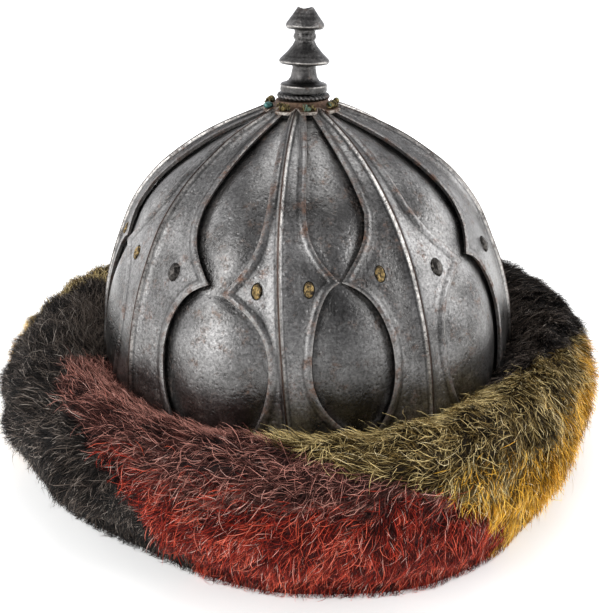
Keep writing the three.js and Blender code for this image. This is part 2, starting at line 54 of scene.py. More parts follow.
# %% [markdown]
# ## Camera
# The photograph was taken from close by, a little above the rim, so its perspective is strong. The eye point,
# the tilt and the focal length were fitted to the ridges, the cusps and the outline of the fur.

# %% Camera
CAMERA_EYE = Vector((0.0, -0.3455, 0.2227))
CAMERA_PITCH, CAMERA_YAW, CAMERA_ROLL = (math.radians(a) for a in (25.23, -0.474, -0.996))
FOCAL_PIXELS = 717.73
IMAGE_HEIGHT = 613

lens = bpy.data.cameras.new("photo_camera")
lens.sensor_width = 36
lens.lens = FOCAL_PIXELS * lens.sensor_width / IMAGE_HEIGHT
camera = bpy.data.objects.new("photo_camera", lens)
turn = Matrix.Rotation(-CAMERA_YAW, 4, "Z") @ Matrix.Rotation(math.pi / 2 - CAMERA_PITCH, 4, "X")
camera.matrix_world = Matrix.Translation(CAMERA_EYE) @ turn @ Matrix.Rotation(CAMERA_ROLL, 4, "Z")
bpy.context.scene.collection.objects.link(camera)
bpy.context.scene.camera = camera
print(f"camera: {lens.lens:.2f} mm lens at {tuple(CAMERA_EYE)}")

# %% [markdown]
# ## Colours and nodes
# Colours are written as sRGB hex values, as a colour picker shows them, and turned into the linear values
# that shaders work with. One helper adds a node, sets it and links it.

# %% Helpers for materials
def linear(code):
    channels = [int(code[i:i + 2], 16) / 255 for i in (1, 3, 5)]
    return tuple(c / 12.92 if c <= 0.04045 else ((c + 0.055) / 1.055) ** 2.4 for c in channels) + (1.0,)


def add_node(tree, kind, inputs=None, **settings):
    node = tree.nodes.new(kind)
    for name, value in settings.items():
        setattr(node, name, value)
    for key, value in (inputs or {}).items():
        if isinstance(value, bpy.types.NodeSocket):
            tree.links.new(value, node.inputs[key])
        else:
            node.inputs[key].default_value = value
    return node


def new_material(name):
    material = bpy.data.materials.new(name)
    material.use_nodes = True
    tree = material.node_tree
    return material, tree, tree.nodes["Principled BSDF"]


def per_metre(size_mm):
    return 1 / (size_mm * MM)


print("linear mid grey:", linear("#808080")[0])

# %% [markdown]
# ## Worn iron
# The plates are forged iron, once bright, now dark grey with a satin gloss. The skin is finely pitted, with
# brown rust in patches and under the edges, and the ridges and edges are rubbed bright. Two attributes of each
# plate, the distance to its edge and to its ridge in mm, tell the material where the wear is and where painted
# shade darkens the groove behind the lip and the foot of the crest. A third is painted shade as such, which
# darkens the lower oval of the third panel and the dished middles of the gilt rivets.

# %% Patterns of the iron
# The real grit is finer than a pixel, so the grain is drawn at about a millimetre to show at all.
BLOTCH_MM, DAMP_MM, PIT_MM, GRAIN_MM = 26, 7, 2.4, 1.2


def iron_patterns(tree):
    place = add_node(tree, "ShaderNodeTexCoord").outputs["Object"]
    patterns = {}
    for name, size_mm, detail, roughness in (("blotch", BLOTCH_MM, 7.0, 0.68), ("damp", DAMP_MM, 8.0, 0.8),
                                             ("grain", GRAIN_MM, 3.0, 0.8)):
        made = add_node(tree, "ShaderNodeTexNoise", {"Vector": place, "Scale": per_metre(size_mm),
                                                     "Detail": detail, "Roughness": roughness})
        patterns[name] = made.outputs["Fac"]
    pits = add_node(tree, "ShaderNodeTexVoronoi", {"Vector": place, "Scale": per_metre(PIT_MM)})
    patterns["pits"] = pits.outputs["Distance"]
    for name in ("edge_mm", "ridge_mm", "painted_shade"):
        patterns[name] = add_node(tree, "ShaderNodeAttribute", attribute_name=name).outputs["Fac"]
    return patterns


# A line runs beside an edge or a ridge, at_mm from it. It is full within core_mm of its middle and gone at
# fade_mm.
def line_beside(tree, distance, at_mm, fade_mm, core_mm, away=0.0, full=1.0):
    shifted = add_node(tree, "ShaderNodeMath", {0: distance, 1: at_mm}, operation="SUBTRACT")
    off = add_node(tree, "ShaderNodeMath", {0: shifted.outputs[0]}, operation="ABSOLUTE")
    line = add_node(tree, "ShaderNodeMapRange", {0: off.outputs[0], 1: fade_mm, 2: core_mm, 3: away, 4: full})
    return line.outputs[0]


print("iron patterns, largest and smallest:", BLOTCH_MM, GRAIN_MM, "mm")

# %% Shades of the iron
GROOVE_AT_MM, CREST_FOOT_AT_MM = 3.5, 1.6


# Painted shade darkens the groove behind the lip and the foot of the crest, and grit specks the pitted patches.
def iron_shade(tree, patterns):
    groove = line_beside(tree, patterns["edge_mm"], GROOVE_AT_MM, 0.9, 0.2, away=1.0, full=0.55)
    foot = line_beside(tree, patterns["ridge_mm"], CREST_FOOT_AT_MM, 0.6, 0.1, away=1.0, full=0.5)
    dirt_and_painted_shade = add_node(tree, "ShaderNodeMath", {0: groove, 1: foot}, operation="MULTIPLY")
    speck = add_node(tree, "ShaderNodeMapRange", {0: patterns["grain"], 1: 0.36, 2: 0.66, 3: 0.35, 4: 1.6})
    pitted = add_node(tree, "ShaderNodeMapRange", {0: patterns["damp"], 1: 0.38, 2: 0.62, 3: 0.4, 4: 1.0})
    uneven = add_node(tree, "ShaderNodeMix", {0: pitted.outputs[0], 2: 1.0, 3: speck.outputs[0]})
    shade = add_node(tree, "ShaderNodeMath", {0: dirt_and_painted_shade.outputs[0], 1: uneven.outputs[0]}, operation="MULTIPLY")
    with_painted_shade = add_node(tree, "ShaderNodeMath", {0: shade.outputs[0], 1: patterns["painted_shade"]}, operation="MULTIPLY")
    return with_painted_shade.outputs[0]


# The crest of the ridge is brown with a rubbed line on each side of it, and the lip of the edge is rubbed too.
# On the finial and its roped collar the bright lip also stands for a painted highlight.
CREST_BROWN, CREST_LINE_AT_MM = "#3b2a21", 0.7


def iron_wear_and_highlight(tree, patterns, colour, wear_and_highlight_colour, lip_wear_and_highlight):
    core = add_node(tree, "ShaderNodeMapRange", {0: patterns["ridge_mm"], 1: 0.5, 2: 0.25, 3: 0.0, 4: 0.9})
    crested = add_node(tree, "ShaderNodeMix", {0: core.outputs[0], 6: colour, 7: linear(CREST_BROWN)},
                       data_type="RGBA")
    line = line_beside(tree, patterns["ridge_mm"], CREST_LINE_AT_MM, 0.32, 0.12)
    lip = add_node(tree, "ShaderNodeMapRange", {0: patterns["edge_mm"], 1: 1.0, 2: 0.2, 3: 0.0, 4: lip_wear_and_highlight})
    rubbed_and_highlit = add_node(tree, "ShaderNodeMath", {0: line, 1: lip.outputs[0]}, operation="MAXIMUM")
    patchy = add_node(tree, "ShaderNodeMapRange", {0: patterns["damp"], 1: 0.42, 2: 0.58, 3: 0.85, 4: 0.0})
    worn = add_node(tree, "ShaderNodeMath", {0: rubbed_and_highlit.outputs[0], 1: patchy.outputs[0]}, operation="MULTIPLY")
    bright = add_node(tree, "ShaderNodeMix", {0: worn.outputs[0], 6: crested.outputs[2], 7: linear(wear_and_highlight_colour)},
                      data_type="RGBA")
    return bright.outputs[2]


print("crest colour:", CREST_BROWN)

# %% Worn iron
IRON_RELIEF_MM = 0.22


def iron_material(name, dark, light, rust, wear_and_highlight_colour, rust_share, roughness, lip_wear_and_highlight=0.25):
    material, tree, shader = new_material(name)
    patterns = iron_patterns(tree)
    # The plain metal, mottled from dark to light.
    mottle = add_node(tree, "ShaderNodeMapRange", {0: patterns["blotch"], 1: 0.36, 2: 0.66})
    plain = add_node(tree, "ShaderNodeMix", {0: mottle.outputs[0], 6: linear(dark), 7: linear(light)},
                     data_type="RGBA")
    # Rust gathers in patches and in the last millimetres before an edge.
    near_edge = add_node(tree, "ShaderNodeMapRange", {0: patterns["edge_mm"], 1: 4.0, 2: 0.0, 3: 0.0, 4: 0.08})
    damp = add_node(tree, "ShaderNodeMath", {0: patterns["damp"], 1: near_edge.outputs[0]}, operation="ADD")
    rusted = add_node(tree, "ShaderNodeMapRange", {0: damp.outputs[0], 1: 0.68 - rust_share,
                                                   2: 0.84 - rust_share}).outputs[0]
    brown = add_node(tree, "ShaderNodeMix", {0: rusted, 6: plain.outputs[2], 7: linear(rust)}, data_type="RGBA")
    worn = iron_wear_and_highlight(tree, patterns, brown.outputs[2], wear_and_highlight_colour, lip_wear_and_highlight)
    shaded = add_node(tree, "ShaderNodeVectorMath", {0: worn, "Scale": iron_shade(tree, patterns)},
                      operation="SCALE")
    tree.links.new(shaded.outputs[0], shader.inputs["Base Color"])
    # Rust is dull and hardly metallic, and the clean metal is uneven in gloss.
    metal = add_node(tree, "ShaderNodeMapRange", {0: rusted, 3: 0.95, 4: 0.35})
    tree.links.new(metal.outputs[0], shader.inputs["Metallic"])
    uneven = add_node(tree, "ShaderNodeMapRange", {0: patterns["blotch"], 1: 0.3, 2: 0.7,
                                                   3: roughness - 0.06, 4: roughness + 0.1})
    dull = add_node(tree, "ShaderNodeMath", {0: rusted, 1: 0.25, 2: uneven.outputs[0]},
                    operation="MULTIPLY_ADD")
    tree.links.new(dull.outputs[0], shader.inputs["Roughness"])
    # Relief: fine grain and shallow pits.
    low = add_node(tree, "ShaderNodeMapRange", {0: patterns["pits"], 1: 0.0, 2: 0.35, 3: -0.6, 4: 0.0})
    relief = add_node(tree, "ShaderNodeMath", {0: patterns["grain"], 1: low.outputs[0]}, operation="ADD")
    bump = add_node(tree, "ShaderNodeBump", {"Strength": 0.85, "Distance": IRON_RELIEF_MM * MM,
                                             "Height": relief.outputs[0]})
    tree.links.new(bump.outputs[0], shader.inputs["Normal"])
    return material


plate_iron = iron_material("forged_iron_plates", "#565554", "#8c8b8a", "#604434", "#c4bfb9",
                           rust_share=0.13, roughness=0.29)
panel_iron = iron_material("forged_iron_panels", "#525150", "#888786", "#604634", "#c4bfb9",
                           rust_share=0.13, roughness=0.28)
print("iron materials:", plate_iron.name, panel_iron.name)

# %% [markdown]
# ## The shape of the dome
# All plates lie on one surface, turned round the axis and a little widened at the shoulders. Its radius falls
# from the rim to the crown by one formula, so a plate is a flat grid whose rows are heights and whose columns
# are directions round the axis.

# %% The dome's surface
FACE_RADIUS, FACE_TAPER, FACE_HEIGHT = 108.2, 0.0545, 166.5
FACE_SQUARENESS, FACE_ROUNDING = 3.76, 0.71
# Between these heights the dome is a little wider than it is deep.
SHOULDER_WIDER, SHOULDER_FROM, SHOULDER_TO = 0.056, (98, 140), (152, 163)
SLOPE_STEP = 0.05


def lerp(a, b, t):
    return a + (b - a) * t


def smooth_step(low, high, value):
    t = np.clip((value - low) / (high - low), 0, 1)
    return t * t * (3 - 2 * t)


def face_radius(z):
    up = np.maximum(z, 0) / FACE_HEIGHT
    return (FACE_RADIUS - FACE_TAPER * z) * np.maximum(1 - up ** FACE_SQUARENESS, 0) ** FACE_ROUNDING


def face_normal(z):
    slope = (face_radius(z + SLOPE_STEP) - face_radius(z - SLOPE_STEP)) / (2 * SLOPE_STEP)
    length = np.hypot(1, slope)
    return 1 / length, -slope / length


def around(azimuth, radius, z):
    angle = np.radians(azimuth)
    return np.stack([radius * np.sin(angle), -radius * np.cos(angle), z + 0 * angle], axis=-1) * MM


def dome_point(azimuth, z, lift):
    out, up = face_normal(z)
    point = around(azimuth, face_radius(z) + lift * out, z + lift * up)
    shoulder = smooth_step(*SHOULDER_FROM, z) - smooth_step(*SHOULDER_TO, z)
    point[..., 0] *= 1 + SHOULDER_WIDER * shoulder * np.sin(np.radians(azimuth)) ** 2
    return point


def near_to(azimuth, other):
    return azimuth - 360 * np.round((azimuth - other) / 360)


print("dome radius at the rim and half way up:", face_radius(0.0),
      round(float(face_radius(FACE_HEIGHT / 2)), 1), "mm")

# %% [markdown]
# ## Edges of the plates
# Each opening between two plates is a pointed oval below and a teardrop above, and the two meet in a pair of
# cusps. The plates were cut by hand, so every opening has its own numbers. They are the directions of its two
# edges, in degrees from the front, and the heights of the cusps.

# %% Ridges and openings
RIDGES = [(-88, -88), (-47, -50), (-1.5, -9.5), (30, 30), (79, 79), (127, 127), (175.5, 175.5), (224, 224)]
OPENING_COLUMNS = "lowLeft lowRight tipLeft tipRight upLeft upRight cuspLeft cuspRight foot footZ".split()
OPENING_ROWS = [
    (-81, -57.5, -71.5, -69.5, -79.5, -58.5, 111, 110, -69, 30),
    (-36.8, -8.5, -26.1, -22, -36.5, -12.9, 107.3, 104.5, -23.5, 27),
    (1.4, 21.2, 9.2, 9.8, 0.8, 20.8, 110, 110, 14, 45.5),
    (36.2, 63.5, 50, 53.7, 38.2, 62, 107.5, 108.6, 50, 25),
    (92, 114, 102, 104.5, 93, 113, 108, 109, 103, 30),
    (139, 163.5, 150, 152.5, 140, 162.5, 109, 108, 151, 28),
    (188, 212, 198.5, 201, 189, 211, 107, 109, 200, 32),
    (236, 260, 246.5, 249.5, 237, 259, 109, 110, 248, 30),
]
OPENINGS = [dict(zip(OPENING_COLUMNS, row)) for row in OPENING_ROWS]
LOW_WIDEST_Z, UP_WIDEST_Z = 79, 131
PLATE_RIM_Z, PLATE_TOP_Z = 0.8, 162.8
FOOT_TAPER, FOOT_HALF_GAP = 2.2, 0.1
# The edges leave the tip of a cusp in straight lines of these slopes, above and below it, before they curve
# away.
CUSP_SLOPE_UP, CUSP_SLOPE_DOWN, CUSP_BLEND = 1.1, 0.42, 4
# How much of a plate's rows goes to its foot, its oval, its teardrop and its top.
FOOT_ROWS, OVAL_ROWS, TEAR_ROWS, TOP_ROWS = 0.3, 0.25, 0.2, 0.25
OVAL_END, TEAR_END = FOOT_ROWS + OVAL_ROWS, FOOT_ROWS + OVAL_ROWS + TEAR_ROWS


def ridge_azimuth(k, z):
    rim, crown = RIDGES[k % 8]
    return lerp(rim, crown, z / FACE_HEIGHT)


# The smaller of two lengths, rounded off where they are about equal.
def softer_of(curve, straight):
    curve, straight = np.maximum(curve, 1e-4), np.maximum(straight, 1e-4)
    return (curve ** -CUSP_BLEND + straight ** -CUSP_BLEND) ** (-1 / CUSP_BLEND)


def edge_azimuth(opening, side, z):
    tip, low, up, cusp = (opening[part + side] for part in ("tip", "low", "up", "cusp"))
    one_degree = np.radians(1) * face_radius(z)
    reach = np.where(z > UP_WIDEST_Z, FACE_HEIGHT - UP_WIDEST_Z, UP_WIDEST_Z - cusp)
    curve = abs(up - tip) * np.sqrt(np.maximum(0, 1 - ((z - UP_WIDEST_Z) / reach) ** 2))
    straight = np.maximum(z - cusp, 0) / (CUSP_SLOPE_UP * one_degree)
    upper = tip + np.sign(up - tip) * np.where(z > UP_WIDEST_Z, curve, softer_of(curve, straight))
    curve = abs(low - tip) * np.sqrt(np.maximum(0, 1 - ((z - LOW_WIDEST_Z) / (cusp - LOW_WIDEST_Z)) ** 2))
    straight = np.maximum(cusp - z, 0) / (CUSP_SLOPE_DOWN * one_degree)
    oval = tip + np.sign(low - tip) * softer_of(curve, straight)
    down = np.clip((LOW_WIDEST_Z - z) / (LOW_WIDEST_Z - opening["footZ"]), 0, 1)
    foot = opening["foot"] + (-FOOT_HALF_GAP if side == "Left" else FOOT_HALF_GAP)
    taper = lerp(foot, low, 1 - down ** FOOT_TAPER)
    return np.where(z >= cusp, upper, np.where(z >= LOW_WIDEST_Z, oval, taper))


# Rows are spaced by the angle along each arc, so that they crowd together at the cusps and keep them sharp.
def row_height(t, cusp):
    foot = lerp(PLATE_RIM_Z, LOW_WIDEST_Z, t / FOOT_ROWS)
    oval = LOW_WIDEST_Z + (cusp - LOW_WIDEST_Z) * np.sin((t - FOOT_ROWS) / OVAL_ROWS * math.pi / 2)
    tear = UP_WIDEST_Z - (UP_WIDEST_Z - cusp) * np.cos((t - OVAL_END) / TEAR_ROWS * math.pi / 2)
    last = math.asin((PLATE_TOP_Z - UP_WIDEST_Z) / (FACE_HEIGHT - UP_WIDEST_Z))
    top = UP_WIDEST_Z + (FACE_HEIGHT - UP_WIDEST_Z) * np.sin((t - TEAR_END) / TOP_ROWS * last)
    return np.select([t <= FOOT_ROWS, t <= OVAL_END, t <= TEAR_END], [foot, oval, tear], top)


print("openings:", len(OPENINGS), "cusp heights:", sorted({row[6] for row in OPENING_ROWS}))

# %% [markdown]
# ## Seats of the rivets
# Two rivets hold each plate to the panels, one in each cusped wing. A seat is a small frame on the dome: its
# first axis runs across, its second up the dome, and its third points outward.

# %% Rivet seats
RIVET_PLACE, RIVET_LIFT = 0.46, 1.5
RIVET_HALF_WIDTH, RIVET_HALF_HEIGHT, RIVET_RISE, RIVET_CLEARANCE = 2.0, 3.2, 1.3, 0.4
# Rivets that sit off their usual place, by number: degrees across and millimetres up.
RIVET_SHIFTS = {2: (0, -2.2), 3: (0, -2.3), 5: (1.3, 1.2), 6: (0.5, -3.3), 9: (1.2, -4.2)}


def rivet_places(k):
    left, right = OPENINGS[(k + 7) % 8], OPENINGS[k]
    places = []
    wings = ((left["tipRight"], left["cuspRight"]), (right["tipLeft"], right["cuspLeft"]))
    for number, (tip, cusp) in enumerate(wings, start=2 * k + 1):
        across, up = RIVET_SHIFTS.get(number, (0, 0))
        z = cusp + RIVET_LIFT + up
        ridge = ridge_azimuth(k, z)
        places.append((lerp(ridge, near_to(tip, ridge), RIVET_PLACE) + across, z))
    return places


def seat_on_dome(azimuth, z, lift):
    out, up = face_normal(z)
    across = Vector(around(azimuth + 90, 1.0, 0.0) / MM)
    normal = Vector(around(azimuth, out, up) / MM)
    rise = normal.cross(across)
    seat = Matrix((across, rise, normal)).transposed().to_4x4()
    seat.translation = Vector(dome_point(azimuth, z, lift))
    return seat


print("rivet seats on the front plate:", [(round(float(a), 1), z) for a, z in rivet_places(2)])

# %% [markdown]
# ## Outer plates
# A plate is a strip from the rim to the crown. Down its middle runs a sharp narrow ridge on a low swelling,
# and along its edge a rounded lip. It could be carved with booleans, but a grid bent to the dome keeps clean
# rows along the ridge and the edge, where the columns crowd. Around a rivet hole the grid is cut finer, the
# vertices inside the oval go, and the ring that is left is drawn onto it. Solidify and Bevel make the sheet
# and its lips.

# %% Helpers for grids and finished pieces
def grid_mesh(columns, rows):
    bm = bmesh.new()
    bmesh.ops.create_grid(bm, x_segments=columns, y_segments=rows, size=1)
    flat = np.array([vertex.co[:2] for vertex in bm.verts])
    return bm, flat[:, 0], flat[:, 1]


def place_vertices(bm, points):
    for vertex, point in zip(bm.verts, points):
        vertex.co = point


def ride_helmet(mesh, material, nodes):
    mesh.materials.append(material)
    piece = bpy.data.objects.new(mesh.name, mesh)
    bpy.context.scene.collection.objects.link(piece)
    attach(piece, "root")
    if nodes:
        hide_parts(*nodes)
    return piece


def finish_piece(name, bm, material, nodes, smooth=True):
    mesh = bpy.data.meshes.new(name)
    bm.to_mesh(mesh)
    bm.free()
    mesh.polygons.foreach_set("use_smooth", [smooth] * len(mesh.polygons))
    return ride_helmet(mesh, material, nodes)


# Where a piece has no edge or ridge to wear, the distance to it is set far away. The last attribute is painted
# shade, and 1 leaves the colour as it is.
def wear_and_shade_attributes(bm, edge_mm=50.0, ridge_mm=50.0, painted_shade=1.0):
    for name, values in (("edge_mm", edge_mm), ("ridge_mm", ridge_mm), ("painted_shade", painted_shade)):
        layer = bm.verts.layers.float.new(name)
        for vertex, value in zip(bm.verts, np.broadcast_to(values, len(bm.verts))):
            vertex[layer] = value


LIP_ANGLE = math.radians(62)


def thicken(piece, thickness_mm, lip_mm):
    sheet = piece.modifiers.new("thickness", "SOLIDIFY")
    sheet.thickness = thickness_mm * MM
    sheet.offset = -1
    lip = piece.modifiers.new("lip", "BEVEL")
    lip.width = lip_mm * MM
    lip.segments = 2
    lip.limit_method = "ANGLE"
    lip.angle_limit = LIP_ANGLE
    lip.harden_normals = True


print("an edge sharper than", round(math.degrees(LIP_ANGLE)), "degrees gets a rounded lip")

# %% Columns of a plate
# The columns lie at these distances from the ridge and from the edge, and the rest are shared out between.
FROM_RIDGE_MM = np.array([0, 0.4, 0.7, 1.0, 1.7, 2.8, 4.4, 7.0])
FROM_EDGE_MM = np.array([0, 0.5, 1.1, 1.8, 2.5, 3.2, 4.6])
PLATE_COLUMNS, PLATE_ROWS = 40, 110
HALF_COLUMNS = PLATE_COLUMNS // 2
# Where a plate is narrow, the columns by the ridge take up to a half of it and those by the edge two fifths.
RIDGE_SHARE, EDGE_SHARE = 2, 2.5


def column_distance(column, width):
    ridge_scale = np.minimum(1, width / (RIDGE_SHARE * FROM_RIDGE_MM[-1]))
    edge_scale = np.minimum(1, width / (EDGE_SHARE * FROM_EDGE_MM[-1]))
    last_near = len(FROM_RIDGE_MM) - 1
    first_far = HALF_COLUMNS - len(FROM_EDGE_MM) + 1
    near = FROM_RIDGE_MM[np.minimum(column, last_near)] * ridge_scale
    far = width - FROM_EDGE_MM[np.clip(HALF_COLUMNS - column, 0, len(FROM_EDGE_MM) - 1)] * edge_scale
    share = np.clip((column - last_near) / (first_far - last_near), 0, 1)
    return lerp(near, far, share)


def plate_layout(k, side, t, column):
    wings = (OPENINGS[(k + 7) % 8], "Right"), (OPENINGS[k], "Left")
    (opening, name), (other, other_name) = wings if side < 0 else wings[::-1]
    edge_z = row_height(t, opening["cusp" + name])
    other_z = row_height(t, other["cusp" + other_name])
    ridge = ridge_azimuth(k, edge_z)
    span = np.abs(near_to(edge_azimuth(opening, name, edge_z), ridge) - ridge)
    width = np.radians(span) * face_radius(edge_z)
    distance = column_distance(column, width)
    share = distance / np.maximum(width, 1e-6)
    z = lerp((edge_z + other_z) / 2, edge_z, share)
    azimuth = ridge_azimuth(k, z) + side * np.degrees(distance / face_radius(edge_z))
    return azimuth, z, distance


print("columns by the ridge and by the edge:", len(FROM_RIDGE_MM), len(FROM_EDGE_MM))

# %% Rivet holes
# Long edges near a hole are cut in two, first within 2.2 and then within 1.7 times its size.
HOLE_CUTS, HOLE_EDGE_MM, HOLE_DEPTH_MM = (2.2, 1.7), 0.7, 6


def open_rivet_holes(bm, k):
    holes = Vector((RIVET_HALF_WIDTH + RIVET_CLEARANCE, RIVET_HALF_HEIGHT + RIVET_CLEARANCE)) * MM
    for azimuth, z in rivet_places(k):
        seat = seat_on_dome(azimuth, z, 0)
        inward = seat.inverted()

        def reach_of(vertex):
            local = inward @ vertex.co
            near_seat = abs(local.z) < HOLE_DEPTH_MM * MM
            return math.hypot(local.x / holes.x, local.y / holes.y) if near_seat else math.inf

        for widest in HOLE_CUTS:
            near = {v for v in bm.verts if reach_of(v) < widest}
            edges = [e for e in bm.edges if e.verts[0] in near or e.verts[1] in near]
            long_edges = [e for e in edges if e.calc_length() > HOLE_EDGE_MM * MM]
            bmesh.ops.subdivide_edges(bm, edges=long_edges, cuts=1, use_grid_fill=True)
        inside = [v for v in bm.verts if reach_of(v) < 1]
        ring = {other for v in inside for face in v.link_faces for other in face.verts} - set(inside)
        bmesh.ops.delete(bm, geom=inside, context="VERTS")
        for vertex in ring:
            local = inward @ vertex.co
            scale = math.hypot(local.x / holes.x, local.y / holes.y)
            vertex.co = seat @ Vector((local.x / scale, local.y / scale, local.z))


print("rivet hole, across and up:", 2 * (RIVET_HALF_WIDTH + RIVET_CLEARANCE),
      2 * (RIVET_HALF_HEIGHT + RIVET_CLEARANCE), "mm")

# %% Outer plates
PLATE_THICKNESS, PLATE_LIP_BEVEL = 1.6, 0.4
RIDGE_SWELL, RIDGE_HALF_WIDTH, RIDGE_SPREAD = 2.0, 6.0, 0.2
CREST_HEIGHT, CREST_FLAT, CREST_HALF_WIDTH = 0.8, 0.4, 1.0
LIP_MM, LIP_RISE, LIP_OVERHANG, HOLLOW_MM, HOLLOW_DEPTH = 3.2, 0.7, 0.5, 8.0, 0.15
# The sheet was beaten by hand, so it is uneven by this much over this distance.
PLATE_DENT_MM, PLATE_DENT_DEPTH = 16, 0.2
EDGE_SAMPLES = 900


def unevenness(points, size_mm, depth_mm):
    return np.array([noise.noise(Vector(p) / (size_mm * MM)) for p in points]) * depth_mm


def outer_plate(k):
    bm, x, y = grid_mesh(PLATE_COLUMNS, PLATE_ROWS)
    t = (y + 1) / 2
    column = np.round(np.abs(x) * HALF_COLUMNS).astype(int)
    left, right = (plate_layout(k, side, t, column) for side in (-1, 1))
    azimuth, z, from_ridge = (np.where(x < 0, a, b) for a, b in zip(left, right))
    flat = dome_point(azimuth, z, 0.0)
    fine, last_column = np.linspace(0, 1, EDGE_SAMPLES), np.full(EDGE_SAMPLES, HALF_COLUMNS)
    rim = np.concatenate([dome_point(*plate_layout(k, side, fine, last_column)[:2], 0.0) for side in (-1, 1)])
    from_edge = np.array([np.sqrt(((rim - point) ** 2).sum(axis=1).min()) for point in flat]) / MM
    half_width = np.minimum(RIDGE_HALF_WIDTH, RIDGE_SPREAD * face_radius(z))
    swell = RIDGE_SWELL * np.maximum(0, 1 - from_ridge / half_width) ** 2
    crest = CREST_HEIGHT * np.clip(1 - (from_ridge - CREST_FLAT) / (CREST_HALF_WIDTH - CREST_FLAT), 0, 1)
    on_lip = np.clip((from_edge + LIP_OVERHANG) / (LIP_MM + LIP_OVERHANG), 0, 1)
    in_hollow = np.clip((from_edge - LIP_MM) / (HOLLOW_MM - LIP_MM), 0, 1)
    lip = LIP_RISE * np.sin(math.pi * on_lip)
    hollow = HOLLOW_DEPTH * np.sin(math.pi * in_hollow) ** 2
    lift = swell + crest + lip - hollow + unevenness(flat, PLATE_DENT_MM, PLATE_DENT_DEPTH)
    place_vertices(bm, dome_point(azimuth, z, lift))
    wear_and_shade_attributes(bm, from_edge, from_ridge)
    open_rivet_holes(bm, k)
    bmesh.ops.recalc_face_normals(bm, faces=bm.faces)
    piece = finish_piece(f"ridged_plate_{k + 1}", bm, plate_iron, [f"outer_plate_{k + 1}"])
    thicken(piece, PLATE_THICKNESS, PLATE_LIP_BEVEL)
    return piece


outer_plates = [outer_plate(k) for k in range(8)]
print("outer plates:", [len(piece.data.polygons) for piece in outer_plates])

# %% [markdown]
# ## Inner panels
# The panels close the openings from behind. In each opening the sheet swells into a soft pillow, highest in
# the middle and low along the edges, which is what catches the light. The same grid gives it in one formula.

# %% Inner panels
PANEL_THICKNESS, PANEL_LIP_BEVEL = 1.4, 0.3
SEAT_GAP, PANEL_EDGE_INSET, PANEL_BULGE, PANEL_LEAST_HALF = 0.9, 1.6, 0.15, 6.5
PANEL_DENT_MM, PANEL_DENT_DEPTH = 14, 0.2
PANEL_COLUMNS, PANEL_ROWS = 28, 76
# Painted shade on a panel's lower oval and upper teardrop, where it isn't the usual one, and the heights
# between them. It darkens the lower oval of the third panel and lightens its teardrop a little.
PANEL_PAINTED_SHADES, PAINTED_SHADE_CHANGE_Z = {2: (0.6, 1.05)}, (100, 118)


def inner_panel(k):
    opening = OPENINGS[k]
    bm, x, y = grid_mesh(PANEL_COLUMNS, PANEL_ROWS)
    z = row_height((y + 1) / 2, (opening["cuspLeft"] + opening["cuspRight"]) / 2)
    inset = np.degrees(PANEL_EDGE_INSET / face_radius(z))
    start = near_to(ridge_azimuth(k, z), opening["foot"]) + inset
    end = near_to(ridge_azimuth(k + 1, z), opening["foot"]) - inset
    azimuth = lerp(start, end, (x + 1) / 2)
    left, right = (near_to(edge_azimuth(opening, side, z), opening["foot"]) for side in ("Left", "Right"))
    one_mm = np.degrees(1 / face_radius(z))
    half = np.maximum((right - left) / 2 - one_mm, PANEL_LEAST_HALF * one_mm)
    across = np.clip((azimuth - (left + right) / 2) / half, -1, 1)
    swell = PANEL_BULGE * np.radians(half) * face_radius(z) * (1 - across ** 2)
    level = -PLATE_THICKNESS - SEAT_GAP
    flat = dome_point(azimuth, z, level)
    dents = unevenness(flat, PANEL_DENT_MM, PANEL_DENT_DEPTH)
    place_vertices(bm, dome_point(azimuth, z, level + swell + dents))
    # The panel's painted shade goes into an attribute that scales its colour.
    low_painted_shade, high_painted_shade = PANEL_PAINTED_SHADES.get(k, (1.0, 1.0))
    wear_and_shade_attributes(bm, painted_shade=lerp(low_painted_shade, high_painted_shade, smooth_step(*PAINTED_SHADE_CHANGE_Z, z)))
    bmesh.ops.recalc_face_normals(bm, faces=bm.faces)
    piece = finish_piece(f"panel_{k + 1}", bm, panel_iron, [f"inner_plate_{k + 1}"])
    thicken(piece, PANEL_THICKNESS, PANEL_LIP_BEVEL)
    return piece


inner_panels = [inner_panel(k) for k in range(8)]
print("inner panels:", [len(piece.data.polygons) for piece in inner_panels])

# %% [markdown]
# ## Rivets
# The rivets are flat ovals, hammered by hand. Six are gilt and worn hollow, and the others are dark steel
# with rough facets. A sphere squashed into its seat is enough for so small a piece, and a little noise
# roughens it.

